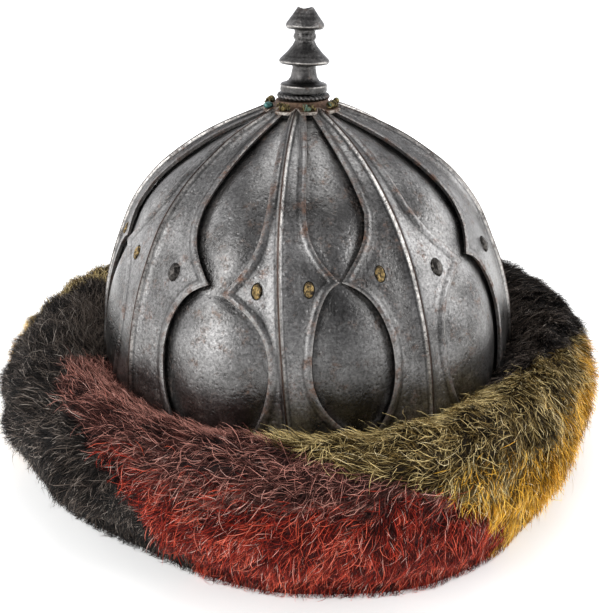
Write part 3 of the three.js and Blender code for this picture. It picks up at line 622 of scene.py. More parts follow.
# %% Rivet materials
def gilt_material():
    material, tree, shader = new_material("worn_gilt_brass")
    place = add_node(tree, "ShaderNodeTexCoord").outputs["Object"]
    dirt_and_painted_shade = add_node(tree, "ShaderNodeTexNoise", {"Vector": place, "Scale": per_metre(1.8), "Detail": 5.0,
                                                 "Roughness": 0.7})
    share = add_node(tree, "ShaderNodeMapRange", {0: dirt_and_painted_shade.outputs["Fac"], 1: 0.44, 2: 0.58})
    colour = add_node(tree, "ShaderNodeMix", {0: share.outputs[0], 6: linear("#33281a"), 7: linear("#a98f5c")},
                      data_type="RGBA")
    # A per-vertex attribute darkens the dished middle of a head: painted shade.
    painted_shade = add_node(tree, "ShaderNodeAttribute", attribute_name="painted_shade").outputs["Fac"]
    with_painted_shade = add_node(tree, "ShaderNodeVectorMath", {0: colour.outputs[2], "Scale": painted_shade}, operation="SCALE")
    tree.links.new(with_painted_shade.outputs[0], shader.inputs["Base Color"])
    rough = add_node(tree, "ShaderNodeMapRange", {0: dirt_and_painted_shade.outputs["Fac"], 1: 0.3, 2: 0.7, 3: 0.7, 4: 0.42})
    tree.links.new(rough.outputs[0], shader.inputs["Roughness"])
    shader.inputs["Metallic"].default_value = 0.6
    bump = add_node(tree, "ShaderNodeBump", {"Strength": 0.4, "Distance": 0.2 * MM,
                                             "Height": dirt_and_painted_shade.outputs["Fac"]})
    tree.links.new(bump.outputs[0], shader.inputs["Normal"])
    return material


worn_gilt = gilt_material()
dark_steel = iron_material("dark_steel_rivets", "#2b2927", "#4a4744", "#2c2019", "#8d8a87",
                           rust_share=0.04, roughness=0.15)
print("rivet materials:", worn_gilt.name, dark_steel.name)

# %% Plate rivets
GILT_RIVETS = {2, 3, 5, 6, 7, 10}
STEEL_RIVETS = [number for number in range(1, 17) if number not in GILT_RIVETS]
RIVET_SUNK = 0.2
# A steel head is larger than its solid, across, up and out.
STEEL_LARGER = 1.55, 1.3, 1.6
# A gilt head is dished in its middle, and painted shade darkens it there. The ranges say how far in from its
# rim that goes.
DISH_DEPTH, DISH_RANGE = 0.75, (0.25, 0.6)
RIM_PAINTED_SHADE, MIDDLE_PAINTED_SHADE, PAINTED_SHADE_RANGE = 0.95, 0.3, (0.2, 0.65)
HAMMER_MM, HAMMER_DEPTH = 1.6, 0.22


def rivet_heads(name, numbers, material, facets):
    bm = bmesh.new()
    painted_shades = []
    for number in numbers:
        azimuth, z = rivet_places((number - 1) // 2)[(number - 1) % 2]
        seat = seat_on_dome(azimuth, z, -RIVET_SUNK)
        rise = RIVET_RISE + RIVET_SUNK
        size = Matrix.Diagonal((RIVET_HALF_WIDTH * MM, RIVET_HALF_HEIGHT * MM, rise * MM, 1))
        if facets:
            wide = size @ Matrix.Diagonal((*STEEL_LARGER, 1))
            made = bmesh.ops.create_icosphere(bm, subdivisions=2, radius=1, matrix=seat @ wide)
        else:
            made = bmesh.ops.create_uvsphere(bm, u_segments=24, v_segments=14, radius=1, matrix=size)
            for vertex in made["verts"]:
                inner = 1 - math.hypot(vertex.co.x / size[0][0], vertex.co.y / size[1][1])
                vertex.co.z *= 1 - DISH_DEPTH * float(smooth_step(*DISH_RANGE, inner))
                painted_shades.append(lerp(RIM_PAINTED_SHADE, MIDDLE_PAINTED_SHADE, float(smooth_step(*PAINTED_SHADE_RANGE, inner))))
            bmesh.ops.transform(bm, matrix=seat, verts=made["verts"])
        for vertex in made["verts"]:
            vertex.co += noise.noise_vector(vertex.co / (HAMMER_MM * MM)) * HAMMER_DEPTH * MM
    wear_and_shade_attributes(bm, painted_shade=painted_shades or 1.0)
    return finish_piece(name, bm, material, [f"plate_rivet_{n}" for n in numbers], smooth=not facets)


gilt_heads = rivet_heads("gilt_rivets", sorted(GILT_RIVETS), worn_gilt, False)
steel_heads = rivet_heads("steel_rivets", STEEL_RIVETS, dark_steel, True)
print("rivets:", len(gilt_heads.data.polygons), len(steel_heads.data.polygons))

# %% [markdown]
# ## Crown disc
# A disc with eight lobes sits on the apex, each lobe in the space between two ridges. It is turned like a
# lathe piece with a full spin, and then its rim is drawn in at the ridges.

# %% Crown disc
DISC_BOSS_RADIUS, DISC_BOSS_Z = 12.4, 167.5
DISC_NOTCH_RADIUS, DISC_LOBE_RADIUS, DISC_THICKNESS, DISC_LIFT = 14.2, 18.6, 1.2, 0.6
DISC_LIP_BEVEL, DISC_STEPS = 0.3, 192
# A lobe rises out of its notch within this share of its width, and the lobes differ by this much in radius.
LOBE_RISE, LOBE_UNEVEN = (0.02, 0.2), 0.5
# Diameters of the rings on the boss and on the lobed rim. The rim is laid on the dome afterwards.
BOSS_RINGS, RIM_RINGS = (9.2, 15, 21, 24.4), (25.2, 27, 30, 33, 35, 36.3, 37.2)


def vary(a, b):
    wave = math.sin(a * 12.9898 + b * 78.233) * 43758.5453
    return 2 * (wave - math.floor(wave)) - 1


def face_height(radius):
    heights = np.linspace(100, FACE_HEIGHT, 4000)
    return np.interp(-np.asarray(radius, float), -face_radius(heights), heights)


def spun(profile, steps):
    bm = bmesh.new()
    vertices = [bm.verts.new((diameter / 2 * MM, 0, z * MM)) for z, diameter in profile]
    edges = [bm.edges.new(pair) for pair in zip(vertices, vertices[1:])]
    bmesh.ops.spin(bm, geom=vertices + edges, cent=(0, 0, 0), axis=(0, 0, 1), angle=2 * math.pi, steps=steps,
                   use_merge=True)
    bmesh.ops.remove_doubles(bm, verts=bm.verts, dist=0.002 * MM)
    bmesh.ops.recalc_face_normals(bm, faces=bm.faces)
    return bm


def disc_reach(azimuth):
    for k in range(8):
        start = RIDGES[k][1]
        end = near_to(RIDGES[(k + 1) % 8][1], start + 45)
        along = (near_to(azimuth, (start + end) / 2) - start) / (end - start)
        if 0 <= along <= 1:
            lobe = DISC_LOBE_RADIUS + LOBE_UNEVEN * vary(k, 3)
            return lerp(DISC_NOTCH_RADIUS, lobe, float(smooth_step(*LOBE_RISE, 0.5 - abs(along - 0.5))))
    return DISC_NOTCH_RADIUS


disc_material = iron_material("rusted_iron_disc", "#4a3b31", "#705c4c", "#5a4030", "#e8e2d8",
                              rust_share=0.22, roughness=0.5, lip_wear_and_highlight=1.0)
disc_profile = [(DISC_BOSS_Z, across) for across in BOSS_RINGS] + [(0, across) for across in RIM_RINGS]
bm = spun(disc_profile, DISC_STEPS)
wear_and_shade_attributes(bm)
edge_layer = bm.verts.layers.float["edge_mm"]
for vertex in bm.verts:
    radius = vertex.co.xy.length / MM
    azimuth = math.degrees(math.atan2(vertex.co.x, -vertex.co.y))
    reach = disc_reach(azimuth)
    if radius > DISC_BOSS_RADIUS - 0.1:
        share = (radius - DISC_BOSS_RADIUS) / (DISC_LOBE_RADIUS - DISC_BOSS_RADIUS)
        radius = lerp(DISC_BOSS_RADIUS, reach, max(share, 0))
        height = float(face_height(radius)) + DISC_LIFT + DISC_THICKNESS
        vertex.co = Vector(around(azimuth, radius, height))
        vertex[edge_layer] = reach - radius
bmesh.ops.recalc_face_normals(bm, faces=bm.faces)
crown_disc = finish_piece("lobed_disc", bm, disc_material, ["crown_disc"])
thicken(crown_disc, DISC_THICKNESS, DISC_LIP_BEVEL)
print("crown disc:", len(crown_disc.data.polygons))

# %% [markdown]
# ## Finial and collar
# The finial is a turned spindle with two flaring skirts, and its tip is broken open. A spin turns it, and the
# rim of the break is then lowered by a different amount in each direction. The collar under it is cut like a
# rope: its round section is swollen by a wave that runs round and across it.

# %% Finial
FINIAL_SHIFT, FINIAL_LEAN, FINIAL_STEPS = 0.6, math.radians(2.2), 132
FINIAL_FRAME = (Matrix.Translation((FINIAL_SHIFT * MM, 0, FACE_HEIGHT * MM))
                @ Matrix.Rotation(FINIAL_LEAN, 4, "Y"))
# Heights and diameters, from the stem up over the two skirts and down into the broken tip.
FINIAL_PROFILE = [
    (-6, 0), (-6, 7.2), (4.2, 7.2), (4.2, 21.4), (5.2, 21.9), (6.5, 21.6), (7.4, 22), (8, 20.6), (8.5, 17.2),
    (9.2, 14.6), (11, 12.2), (12.2, 11.8), (14.7, 10.8), (15.6, 11), (16.3, 11.8), (16.6, 16), (16.8, 22.2),
    (17.8, 23.4), (18.8, 22.2), (21.6, 16.2), (24.6, 11), (26.7, 8.8), (27.5, 9.8), (28.3, 10.3), (29.1, 9.9),
    (29.8, 9.2), (31.2, 9.6), (31.6, 15.8), (32.7, 17.6), (34, 16.9), (37.4, 11.6), (40.8, 6.9), (40.2, 4.6),
    (36.5, 3), (36, 0),
]
BREAK_Z, BREAK_DEPTH, BREAK_TURN, BREAK_RAGGED = 39, 0.9, 0.6, 0.3
BEADED_FROM, BEADED_TO, BEADS, BEAD_DEPTH = 27.2, 29.4, 14, 0.014
# The rims of the profile that are drawn bright, rubbed and with a painted highlight.
BRIGHT_RIMS = [(7.4, 22), (17.8, 23.4), (32.7, 17.6), (40.8, 6.9)]
FINIAL_ROUNDING = 0.25

finial_iron = iron_material("turned_iron_finial", "#3a3938", "#6c6a69", "#4d382a", "#d8d3cd",
                            rust_share=0.08, roughness=0.3, lip_wear_and_highlight=0.8)
bm = spun(FINIAL_PROFILE, FINIAL_STEPS)
wear_and_shade_attributes(bm)
edge_layer = bm.verts.layers.float["edge_mm"]
for vertex in bm.verts:
    height, radius = vertex.co.z / MM, vertex.co.xy.length / MM
    angle = math.atan2(vertex.co.y, vertex.co.x)
    vertex[edge_layer] = min(math.hypot(height - z, radius - d / 2) for z, d in BRIGHT_RIMS) + 0.3
    if BEADED_FROM <= height <= BEADED_TO:
        vertex.co.xy *= 1 + BEAD_DEPTH * math.cos(BEADS * angle)
    if height > BREAK_Z:
        ragged = noise.noise(Vector((math.cos(angle), math.sin(angle), 3)) * 2.5)
        slanted = 0.5 - 0.5 * math.cos(2 * angle - BREAK_TURN)
        vertex.co.z -= BREAK_DEPTH * MM * (slanted + BREAK_RAGGED * ragged)
bmesh.ops.transform(bm, matrix=FINIAL_FRAME, verts=bm.verts)
finial = finish_piece("broken_finial", bm, finial_iron, ["finial"])
rounding = finial.modifiers.new("rounding", "BEVEL")
rounding.width, rounding.segments, rounding.angle_limit = FINIAL_ROUNDING * MM, 2, math.radians(35)
rounding.harden_normals = True
print("finial:", len(finial.data.polygons))

# %% Roped collar
COLLAR_SECTION = [(1.3, 10), (1.3, 22.8), (1.6, 23.8), (2.0, 24.5), (2.5, 24.8), (3.0, 24.5), (3.4, 23.8),
                  (3.8, 22.6), (3.8, 10), (1.3, 10)]
COLLAR_STEPS, ROPE_FROM_RADIUS, ROPE_MIDDLE_Z = 208, 11, 2.1
ROPE_STRANDS, ROPE_SLANT, ROPE_DEPTH = 34, 2.2, 0.055
bm = spun(COLLAR_SECTION, COLLAR_STEPS)
wear_and_shade_attributes(bm)
edge_layer = bm.verts.layers.float["edge_mm"]
for vertex in bm.verts:
    out = vertex.co.xy.length / MM
    if out > ROPE_FROM_RADIUS:
        turn = math.atan2(vertex.co.y, vertex.co.x)
        wave = ROPE_STRANDS * turn + ROPE_SLANT * (vertex.co.z / MM - ROPE_MIDDLE_Z)
        groove = 1 - abs(math.sin(wave / 2))
        vertex.co.xy *= 1 - ROPE_DEPTH * groove
        # The strands are drawn bright, rubbed and with a painted highlight, and the grooves between them are
        # not.
        vertex[edge_layer] = 0.5 + 4 * groove
bmesh.ops.transform(bm, matrix=FINIAL_FRAME, verts=bm.verts)
collar = finish_piece("roped_collar", bm, finial_iron, ["finial_collar"])
print("collar:", len(collar.data.polygons))

# %% [markdown]
# ## Small fixings on the crown
# Each lobe of the disc holds a small brass rivet, and most of them are wrapped in a coil of old wire. One has
# grown a crust of verdigris. A wire is a row of circles along its path, bridged one to the next.

# %% Brass and verdigris
def brass_material(name, dark, light, crust, crust_share):
    material, tree, shader = new_material(name)
    place = add_node(tree, "ShaderNodeTexCoord").outputs["Object"]
    tarnish = add_node(tree, "ShaderNodeTexNoise", {"Vector": place, "Scale": per_metre(1.8), "Detail": 5.0,
                                                    "Roughness": 0.7})
    share = add_node(tree, "ShaderNodeMapRange", {0: tarnish.outputs["Fac"], 1: 0.42, 2: 0.6})
    metal = add_node(tree, "ShaderNodeMix", {0: share.outputs[0], 6: linear(dark), 7: linear(light)},
                     data_type="RGBA")
    damp = add_node(tree, "ShaderNodeTexNoise", {"Vector": place, "Scale": per_metre(4.5), "Detail": 3.0})
    crusted = add_node(tree, "ShaderNodeMapRange", {0: damp.outputs["Fac"], 1: 0.72 - crust_share,
                                                    2: 0.8 - crust_share})
    colour = add_node(tree, "ShaderNodeMix", {0: crusted.outputs[0], 6: metal.outputs[2], 7: linear(crust)},
                      data_type="RGBA")
    tree.links.new(colour.outputs[2], shader.inputs["Base Color"])
    gloss = add_node(tree, "ShaderNodeMapRange", {0: crusted.outputs[0], 3: 0.85, 4: 0.0})
    tree.links.new(gloss.outputs[0], shader.inputs["Metallic"])
    shader.inputs["Roughness"].default_value = 0.42
    bump = add_node(tree, "ShaderNodeBump", {"Strength": 0.4, "Distance": 0.15 * MM,
                                             "Height": tarnish.outputs["Fac"]})
    tree.links.new(bump.outputs[0], shader.inputs["Normal"])
    return material


tarnished_brass = brass_material("tarnished_brass", "#2b2517", "#776a45", "#4c6a5b", 0.16)
verdigris = brass_material("verdigris_crust", "#2f4a48", "#47706c", "#5f928c", 0.25)
print("brass materials:", tarnished_brass.name, verdigris.name)

# %% Crown rivets and their wires
DISC_RIVET_RADIUS, DISC_RIVET_RISE, WIRE_RADIUS, WIRE_SIDES = 16.6, 1.1, 0.42, 6
COIL_TURNS, COIL_STEPS, COIL_RADIUS, COIL_LENGTH, COIL_UNEVEN, COIL_RISE = 4, 40, 1.35, 5.6, 0.15, 0.4
BRASS_HALF_WIDTH, CRUST_HALF_WIDTH, CROWN_RIVET_HALF_HEIGHT = 1.5, 2.3, 1.6
DENT_MM, DENT_DEPTH = 1.2, 0.25
VERDIGRIS_LOBES, BARE_LOBES = {0}, {4, 6}


def add_wire(bm, path, radius_mm):
    rings = []
    for i, point in enumerate(path):
        ahead = path[min(i + 1, len(path) - 1)] - path[max(i - 1, 0)]
        turn = ahead.to_track_quat("Z", "Y").to_matrix().to_4x4()
        circle = bmesh.ops.create_circle(bm, segments=WIRE_SIDES, radius=radius_mm * MM,
                                         matrix=Matrix.Translation(point) @ turn)["verts"]
        rings.append({edge for vertex in circle for edge in vertex.link_edges})
    for one, next_one in zip(rings, rings[1:]):
        bmesh.ops.bridge_loops(bm, edges=list(one | next_one))
    for end in (rings[0], rings[-1]):
        bmesh.ops.edgenet_fill(bm, edges=list(end))


def lobe_seat(k):
    azimuth = (RIDGES[k][1] + near_to(RIDGES[(k + 1) % 8][1], RIDGES[k][1] + 45)) / 2
    height = float(face_height(DISC_RIVET_RADIUS)) + DISC_LIFT + DISC_THICKNESS + DISC_RIVET_RISE
    seat = Matrix.Rotation(math.radians(azimuth), 4, "Z")
    seat.translation = Vector(around(azimuth, DISC_RIVET_RADIUS, height))
    return seat


def coil_path(k):
    path = []
    for step in range(COIL_STEPS + 1):
        t = step / COIL_STEPS
        angle = 2 * math.pi * COIL_TURNS * t
        reach = COIL_RADIUS * (1 + COIL_UNEVEN * math.sin(5 * t + k))
        along, out, up = COIL_LENGTH * (t - 0.5), -reach * math.cos(angle), COIL_RISE + reach * math.sin(angle)
        path.append(lobe_seat(k) @ (Vector((along, out, up)) * MM))
    return path


heads = {finish: bmesh.new() for finish in ("brass", "verdigris")}
for k in range(8):
    bm = heads["verdigris" if k in VERDIGRIS_LOBES else "brass"]
    wide = CRUST_HALF_WIDTH if k in VERDIGRIS_LOBES else BRASS_HALF_WIDTH
    size = Matrix.Diagonal((wide * MM, wide * MM, CROWN_RIVET_HALF_HEIGHT * MM, 1))
    made = bmesh.ops.create_uvsphere(bm, u_segments=16, v_segments=10, radius=1, matrix=lobe_seat(k) @ size)
    for vertex in made["verts"]:
        vertex.co += noise.noise_vector(vertex.co / (DENT_MM * MM)) * DENT_DEPTH * MM
    if k not in VERDIGRIS_LOBES | BARE_LOBES:
        add_wire(bm, coil_path(k), WIRE_RADIUS)
for bm in heads.values():
    bmesh.ops.recalc_face_normals(bm, faces=bm.faces)
brass_nodes = [f"crown_rivet_{k + 1}" for k in range(8) if k not in VERDIGRIS_LOBES]
crown_rivets = finish_piece("wired_crown_rivets", heads["brass"], tarnished_brass, brass_nodes)
crusted_rivet = finish_piece("crusted_crown_rivet", heads["verdigris"], verdigris,
                             [f"crown_rivet_{k + 1}" for k in VERDIGRIS_LOBES])
print("crown rivets:", len(crown_rivets.data.polygons), len(crusted_rivet.data.polygons))

# %% [markdown]
# ## The fur ring
# Six lengths of dyed fur are rolled round the rim, and the joints between them run down and to the right,
# like a rope with a slow twist. The roll's section is a row of stations: from the dome over the top, down the
# outside to the surface and back underneath. A point of the fur is a station, a direction and a height above
# the skin.

# %% The roll's section
FUR_CENTRE_R, FUR_CENTRE_Z, BACKING_SHARE = 125, 30, 0.88
FUR_TWIST, FUR_START = 48, -68
STATIONS = np.array([
    (102.5, 52, 0), (114, 60, 0.06), (124, 64, 0.17), (136, 61, 0.42), (146, 52, 0.71), (151, 37, 0.83),
    (147, 17, 0.94), (137, 0, 1), (112.3, 0, 0.5), (110.9, 25, 0.25), (102.5, 52, 0),
])
# How much further out the roll stands than its section, by direction: it is full at the left and the front
# right.
FULLNESS = np.array([
    (-180, 0), (-120, 2.6), (-90, 3), (-62, 4.6), (-30, -4.5), (0, 1.5), (20, 5.5), (31, 4.5), (43, 0.5),
    (52, -2.5), (62, -4), (76, -3.8), (96, 1.5), (130, 0), (180, 0),
])
FULL_RADII = 116, 138
OUTER_FOOT = 7
LAST_STATION = len(STATIONS) - 1
# Under the roll, between these stations, the skin keeps to the section instead of shrinking under the hair.
UNDERSIDE_FROM, UNDERSIDE_TO = (6.4, 7), (9, 10)
FUR_LENGTHS = [
    ("fur_red_front", 54, "red"), ("fur_gold_right", 63, "gold"), ("fur_black_right", 65, "black"),
    ("fur_red_back", 70, "red"), ("fur_gold_left", 61, "gold"), ("fur_black_left", 47, "black"),
]


def station_values(station):
    return (np.interp(station, range(len(STATIONS)), STATIONS[:, i]) for i in range(3))


def fullness(azimuth, radius):
    at = near_to(azimuth, 0)
    i = np.clip(np.searchsorted(FULLNESS[:, 0], at), 1, len(FULLNESS) - 1)
    before, after = FULLNESS[i - 1], FULLNESS[i]
    out = lerp(before[..., 1], after[..., 1], smooth_step(before[..., 0], after[..., 0], at))
    return out * smooth_step(*FULL_RADII, radius)


def fur_point(station, azimuth, lift):
    r, z, _ = station_values(np.minimum(station, LAST_STATION - 0.001))
    out_r, out_z = r - FUR_CENTRE_R, z - FUR_CENTRE_Z
    length = np.hypot(out_r, out_z)
    held = smooth_step(*UNDERSIDE_FROM, station) * (1 - smooth_step(*UNDERSIDE_TO, station))
    grown = (length * lerp(BACKING_SHARE, 1, held) + lift) / length
    radius = FUR_CENTRE_R + out_r * grown + fullness(azimuth, r)
    return around(azimuth, radius, np.maximum(0.0, FUR_CENTRE_Z + out_z * grown))


def untwisted(station, azimuth):
    *_, twist = station_values(station)
    return (azimuth - FUR_TWIST * twist - FUR_START) % 360


print("section length over the top:",
      round(float(np.hypot(*np.diff(STATIONS[:OUTER_FOOT + 1, :2], axis=0).T).sum()), 1), "mm")

# %% [markdown]
# ## Locks
# The hair lies in locks that sweep down and to the left, an upper and a lower row of them. They are the same
# locks as in the solids: each grows from a point, widens and runs out again. The height of the hair follows
# them.

# %% Height of the locks
LOCK_ROUND, LOCK_SWEEP = 30, 2.5
LOCK_DEG = 360 / LOCK_ROUND
# The first and last station of a row of locks and how high they rise.
LOCK_ROWS = [(0.3, 4.2, 5.4), (2.9, 6.8, 5.8)]
# A lock's half width and height along its length, as shares of its widest and highest.
LOCK_ALONG, LOCK_HALF, LOCK_CREST = (0, 0.3, 0.72, 1), (0.525, 0.425), 0.85
LOCK_TIP, LOCK_SUNK = 0.01, -0.8


def lock_height(station, azimuth):
    best = np.zeros_like(station)
    for index, (low, high, rise) in enumerate(LOCK_ROWS):
        for place in range(LOCK_ROUND):
            start = low + 0.25 * vary(place, index)
            end = high + 0.2 * vary(place, index + 5)
            top = rise * (1 + 0.2 * vary(place, index + 9))
            root = (place + 0.5 * index + 0.3 * vary(place, index + 2)) * LOCK_DEG
            along = (station - start) / (end - start)
            wide, narrow = (share * LOCK_DEG for share in LOCK_HALF)
            half = np.interp(along, LOCK_ALONG, [LOCK_TIP, wide, narrow, LOCK_TIP])
            crest = np.interp(along, LOCK_ALONG, [LOCK_SUNK, LOCK_CREST * top, top, LOCK_SUNK])
            swept = LOCK_SWEEP * (station - low)
            off = np.abs(near_to(azimuth, root - swept) - root + swept)
            height = crest * np.clip(1 - off / half, 0, 1)
            best = np.maximum(best, np.where((along > 0) & (along < 1), height, 0))
    return best


print("tallest lock:", round(float(lock_height(np.full(720, 5.0), np.arange(720) / 2.0).max()), 1), "mm")

# %% [markdown]
# ## Dyed fur
# Hair is a dull, slightly glossy fibre. Here a hair takes its colour from its own place on a small palette:
# across the palette run the dye's shades, from worn dark to fresh and on to bleached, and along it the hair
# goes from its dark root to its bright tip, a painted shade deep in the fur and a painted highlight at the
# tips. The palette is the piece's UV map, so the colour of a hair survives in the exported model.

# %% Fur materials
# Each dye has the worn shades of the top first, then the fresh ones of the outside, then a bleached hair.
DYES = {
    "red": ["#060302", "#2f1916", "#693d36", "#c98f80",
            "#1a0503", "#611610", "#a52c1c", "#e56a4d", "#cfa69a"],
    "gold": ["#080502", "#33270f", "#806939", "#e0ca8e",
             "#2b1c07", "#c08a20", "#f2b83a", "#fbd268", "#efdfb4"],
    "black": ["#020202", "#0c0a09", "#251f1b", "#675c53",
              "#030202", "#120f0d", "#29221e", "#62564d", "#aca298"],
}
PALETTE_STOPS = [0.0, 0.2, 0.33, 0.43, 0.5, 0.65, 0.78, 0.9, 0.95]


def fur_material(dye):
    material, tree, shader = new_material(f"dyed_{dye}_fur")
    palette = add_node(tree, "ShaderNodeUVMap", uv_map="OFBake").outputs["UV"]
    axes = add_node(tree, "ShaderNodeSeparateXYZ", {0: palette})
    ramp = add_node(tree, "ShaderNodeValToRGB", {0: axes.outputs["X"]})
    while len(ramp.color_ramp.elements) < len(PALETTE_STOPS):
        ramp.color_ramp.elements.new(0.5)
    for element, stop, code in zip(ramp.color_ramp.elements, PALETTE_STOPS, DYES[dye]):
        element.position, element.color = stop, linear(code)
    # Along the hair the colour is scaled from dark at the root to brighter than the dye at the tip: painted
    # shade deep in the fur and a painted highlight on the tips.
    shade = add_node(tree, "ShaderNodeMapRange", {0: axes.outputs["Y"], 1: 0.0, 2: 0.8, 3: 0.03, 4: 1.35})
    colour = add_node(tree, "ShaderNodeVectorMath", {0: ramp.outputs[0], "Scale": shade.outputs[0]},
                      operation="SCALE")
    tree.links.new(colour.outputs[0], shader.inputs["Base Color"])
    # A hair is a dull fibre, and what little gloss it has must not wash out the black.
    shader.inputs["Roughness"].default_value = 0.55
    shader.inputs["Specular IOR Level"].default_value = 0.12
    return material


fur_materials = {dye: fur_material(dye) for dye in DYES}
print("fur materials:", list(fur_materials))

# %% [markdown]
# ## The skin under the hair
# Each length has a skin that closes the roll, so that nothing shows between the hairs, and it is drawn dark as
# painted shade between them. It is a grid wrapped round the section and twisted with it. An end follows the
# twist and isn't flat, so a single face would stand out of the roll there, and a fan from its middle closes it
# instead.

# %% Skins
SKIN_AROUND, SKIN_PER_DEGREE, SKIN_SUNK, SKIN_LOCKS, LENGTH_GAP = 60, 0.4, -0.8, 0.5, 0.2
# Where the dye changes from worn to fresh, in stations, and how far the line between them wanders.
FRESH_FROM, FRESH_TO, FRESH_UNEVEN = 3.2, 4.7, 0.5
# The skin's places on the palette: its worn and its fresh shade, and a dark stretch near the root of a hair,
# which paints the shade in the gaps between the hairs.
SKIN_WORN, SKIN_FRESH = 0.14, 0.6
SKIN_PAINTED_SHADE_SPOTS = (-0.03, 0.14), (0.03, 0.14), (0.03, 0.24), (-0.03, 0.24)


def sweep_field(station, azimuth):
    turns = np.radians(azimuth)
    wave = np.sin(7 * turns + 2.1 * station) + np.sin(17 * turns - 1.3 * station + 1) + np.sin(31 * turns + 4)
    return wave / 3


def freshness(station, azimuth):
    return smooth_step(FRESH_FROM, FRESH_TO, station + FRESH_UNEVEN * sweep_field(station * 1.7, azimuth + 40))


def fur_skin(name, start, span, dye):
    bm, x, y = grid_mesh(int(span * SKIN_PER_DEGREE), SKIN_AROUND)
    station = (y + 1) / 2 * LAST_STATION
    *_, twist = station_values(station)
    azimuth = FUR_START + start + lerp(LENGTH_GAP, span - LENGTH_GAP, (x + 1) / 2) + FUR_TWIST * twist
    sunk = np.where(station < OUTER_FOOT, SKIN_SUNK + SKIN_LOCKS * lock_height(station, azimuth), 0)
    place_vertices(bm, fur_point(station, azimuth, sunk))
    fresh_layer = bm.verts.layers.float.new("fresh")
    for vertex, fresh in zip(bm.verts, freshness(station, azimuth)):
        vertex[fresh_layer] = fresh
    bmesh.ops.remove_doubles(bm, verts=bm.verts, dist=0.01 * MM)
    ends = bmesh.ops.holes_fill(bm, edges=[edge for edge in bm.edges if edge.is_boundary])["faces"]
    bmesh.ops.poke(bm, faces=ends)
    bmesh.ops.recalc_face_normals(bm, faces=bm.faces)
    palette = bm.loops.layers.uv.new("OFBake")
    for face in bm.faces:
        shade = lerp(SKIN_WORN, SKIN_FRESH, np.mean([vertex[fresh_layer] for vertex in face.verts]))
        for corner, (aside, along) in zip(face.loops, SKIN_PAINTED_SHADE_SPOTS):
            corner[palette].uv = (shade + aside, along)
    return finish_piece(f"{name}_skin", bm, fur_materials[dye], ())


start = 0
for name, span, dye in FUR_LENGTHS:
    skin = fur_skin(name, start, span, dye)
    print(skin.name, len(skin.data.polygons))
    start += span

# %% [markdown]
# ## Hair
# A hair system could grow the fur, but its strands would be lost on export. So each hair is a narrow ribbon
# that ends in a point, and all the hairs of a length are one mesh, filled from arrays. There are three coats:
# a dense short underfur, longer guard hairs that lie in tufts, and a few long crinkled hairs. On top they
# sweep round to the left, and down the outside they turn downward and stand out.

# %% Coats and tufts
COATS = [
    ("underfur", 105000, 2, (3.5, 7.5), (0.22, 0.36), 0.6, 0.5, 0.5),
    ("guard", 90000, 3, (7, 13), (0.19, 0.32), 0.38, 1.0, 1.0),
    ("crinkled", 10000, 6, (10, 18), (0.2, 0.3), 0.7, 3.0, 1.6),
]
COAT_COLUMNS = "name count segments length width spread curl rise".split()
# The last stations of a hair's root, of its path before it spills over the foot, and of a lock under its tip.
LAST_ROOT, LAST_HAIR, LAST_LOCK = 6.95, 6.9, 6.7
# A station is about this long, and so is a degree round the ring, both in mm.
STATION_MM, DEGREE_MM = 14.5, 2.3
TUFT_WANDER, LOCK_TUFT_MM, SHADE_TUFT_MM = 0.7, 6, 5


def spread_roots(count):
    table = np.linspace(0.0, LAST_ROOT, 400)
    r, z, _ = station_values(table)
    weight = np.hypot(np.gradient(r), np.gradient(z)) * r
    station = np.interp(random.random(count), np.cumsum(weight) / weight.sum(), table)
    return station, random.random(count) * 360


def tuft_value(station, azimuth, size_mm, seed):
    row = np.floor(station * STATION_MM / size_mm + TUFT_WANDER * np.sin(azimuth * 0.9 + seed))
    place = np.floor(azimuth * DEGREE_MM / size_mm + TUFT_WANDER * np.sin(station * 5 + seed))
    wave = np.sin(row * 12.9898 + place * 78.233 + seed * 37.7) * 43758.5453
    return 2 * (wave - np.floor(wave)) - 1


print("hairs to grow:", sum(coat[1] for coat in COATS))

# %% Paths of the hairs
# Along the stations: how far a hair leans from straight down, how long and how curly it is, and the mm to the
# next.
LEAN_AT, LEAN_DEG = (0, 1.5, 3, 4.5, 7), (78, 74, 58, 32, 18)
LENGTH_AT, LENGTH_SHARE = (0, 3, 4.5, 7), (1, 1, 0.75, 0.6)
CURL_AT, CURL_SHARE = (0, 3, 5), (1, 0.8, 0.5)
SPACING_AT, SPACING_MM = range(8), (12, 11, 11, 13, 15, 18, 19, 19)
SWEEP_LEAN, TUFT_LEAN = 0.35, 0.45
HAIR_RADIUS, HAIR_ROOT, HAIR_BEND = 132, -1.2, 1.7
LOCK_SHARE, LEAST_RISE, TUFT_RISE, RISE_CHANCE = 0.75, 0.2, 0.3, (2.0, 0.5)
# The roll bulges at both sides: the extra rise in mm, and the directions where it begins and ends.
SIDE_BULGES = (1.6, (-50, -75), (-140, -110)), (1.2, (55, 70), (110, 90))
# Past the foot of the roll the hair spills outward and down by up to this much, and stays above the surface.
SPILL_SLOPE, SPILL_MM, LOWEST_HAIR = 9, 0.8, 0.3


def hair_rise(station, azimuth, end_station, end_azimuth, coat):
    rise = LOCK_SHARE * lock_height(np.clip(end_station, 0, LAST_LOCK), end_azimuth) + LEAST_RISE
    rise = rise + random.gamma(*RISE_CHANCE, len(station)) * coat["rise"]
    rise *= 1 + TUFT_RISE * tuft_value(station, azimuth, LOCK_TUFT_MM, 2)
    at = near_to(azimuth, 0)
    bulges = [size * smooth_step(*near, at) * smooth_step(*far, at) for size, near, far in SIDE_BULGES]
    return rise + sum(bulges)


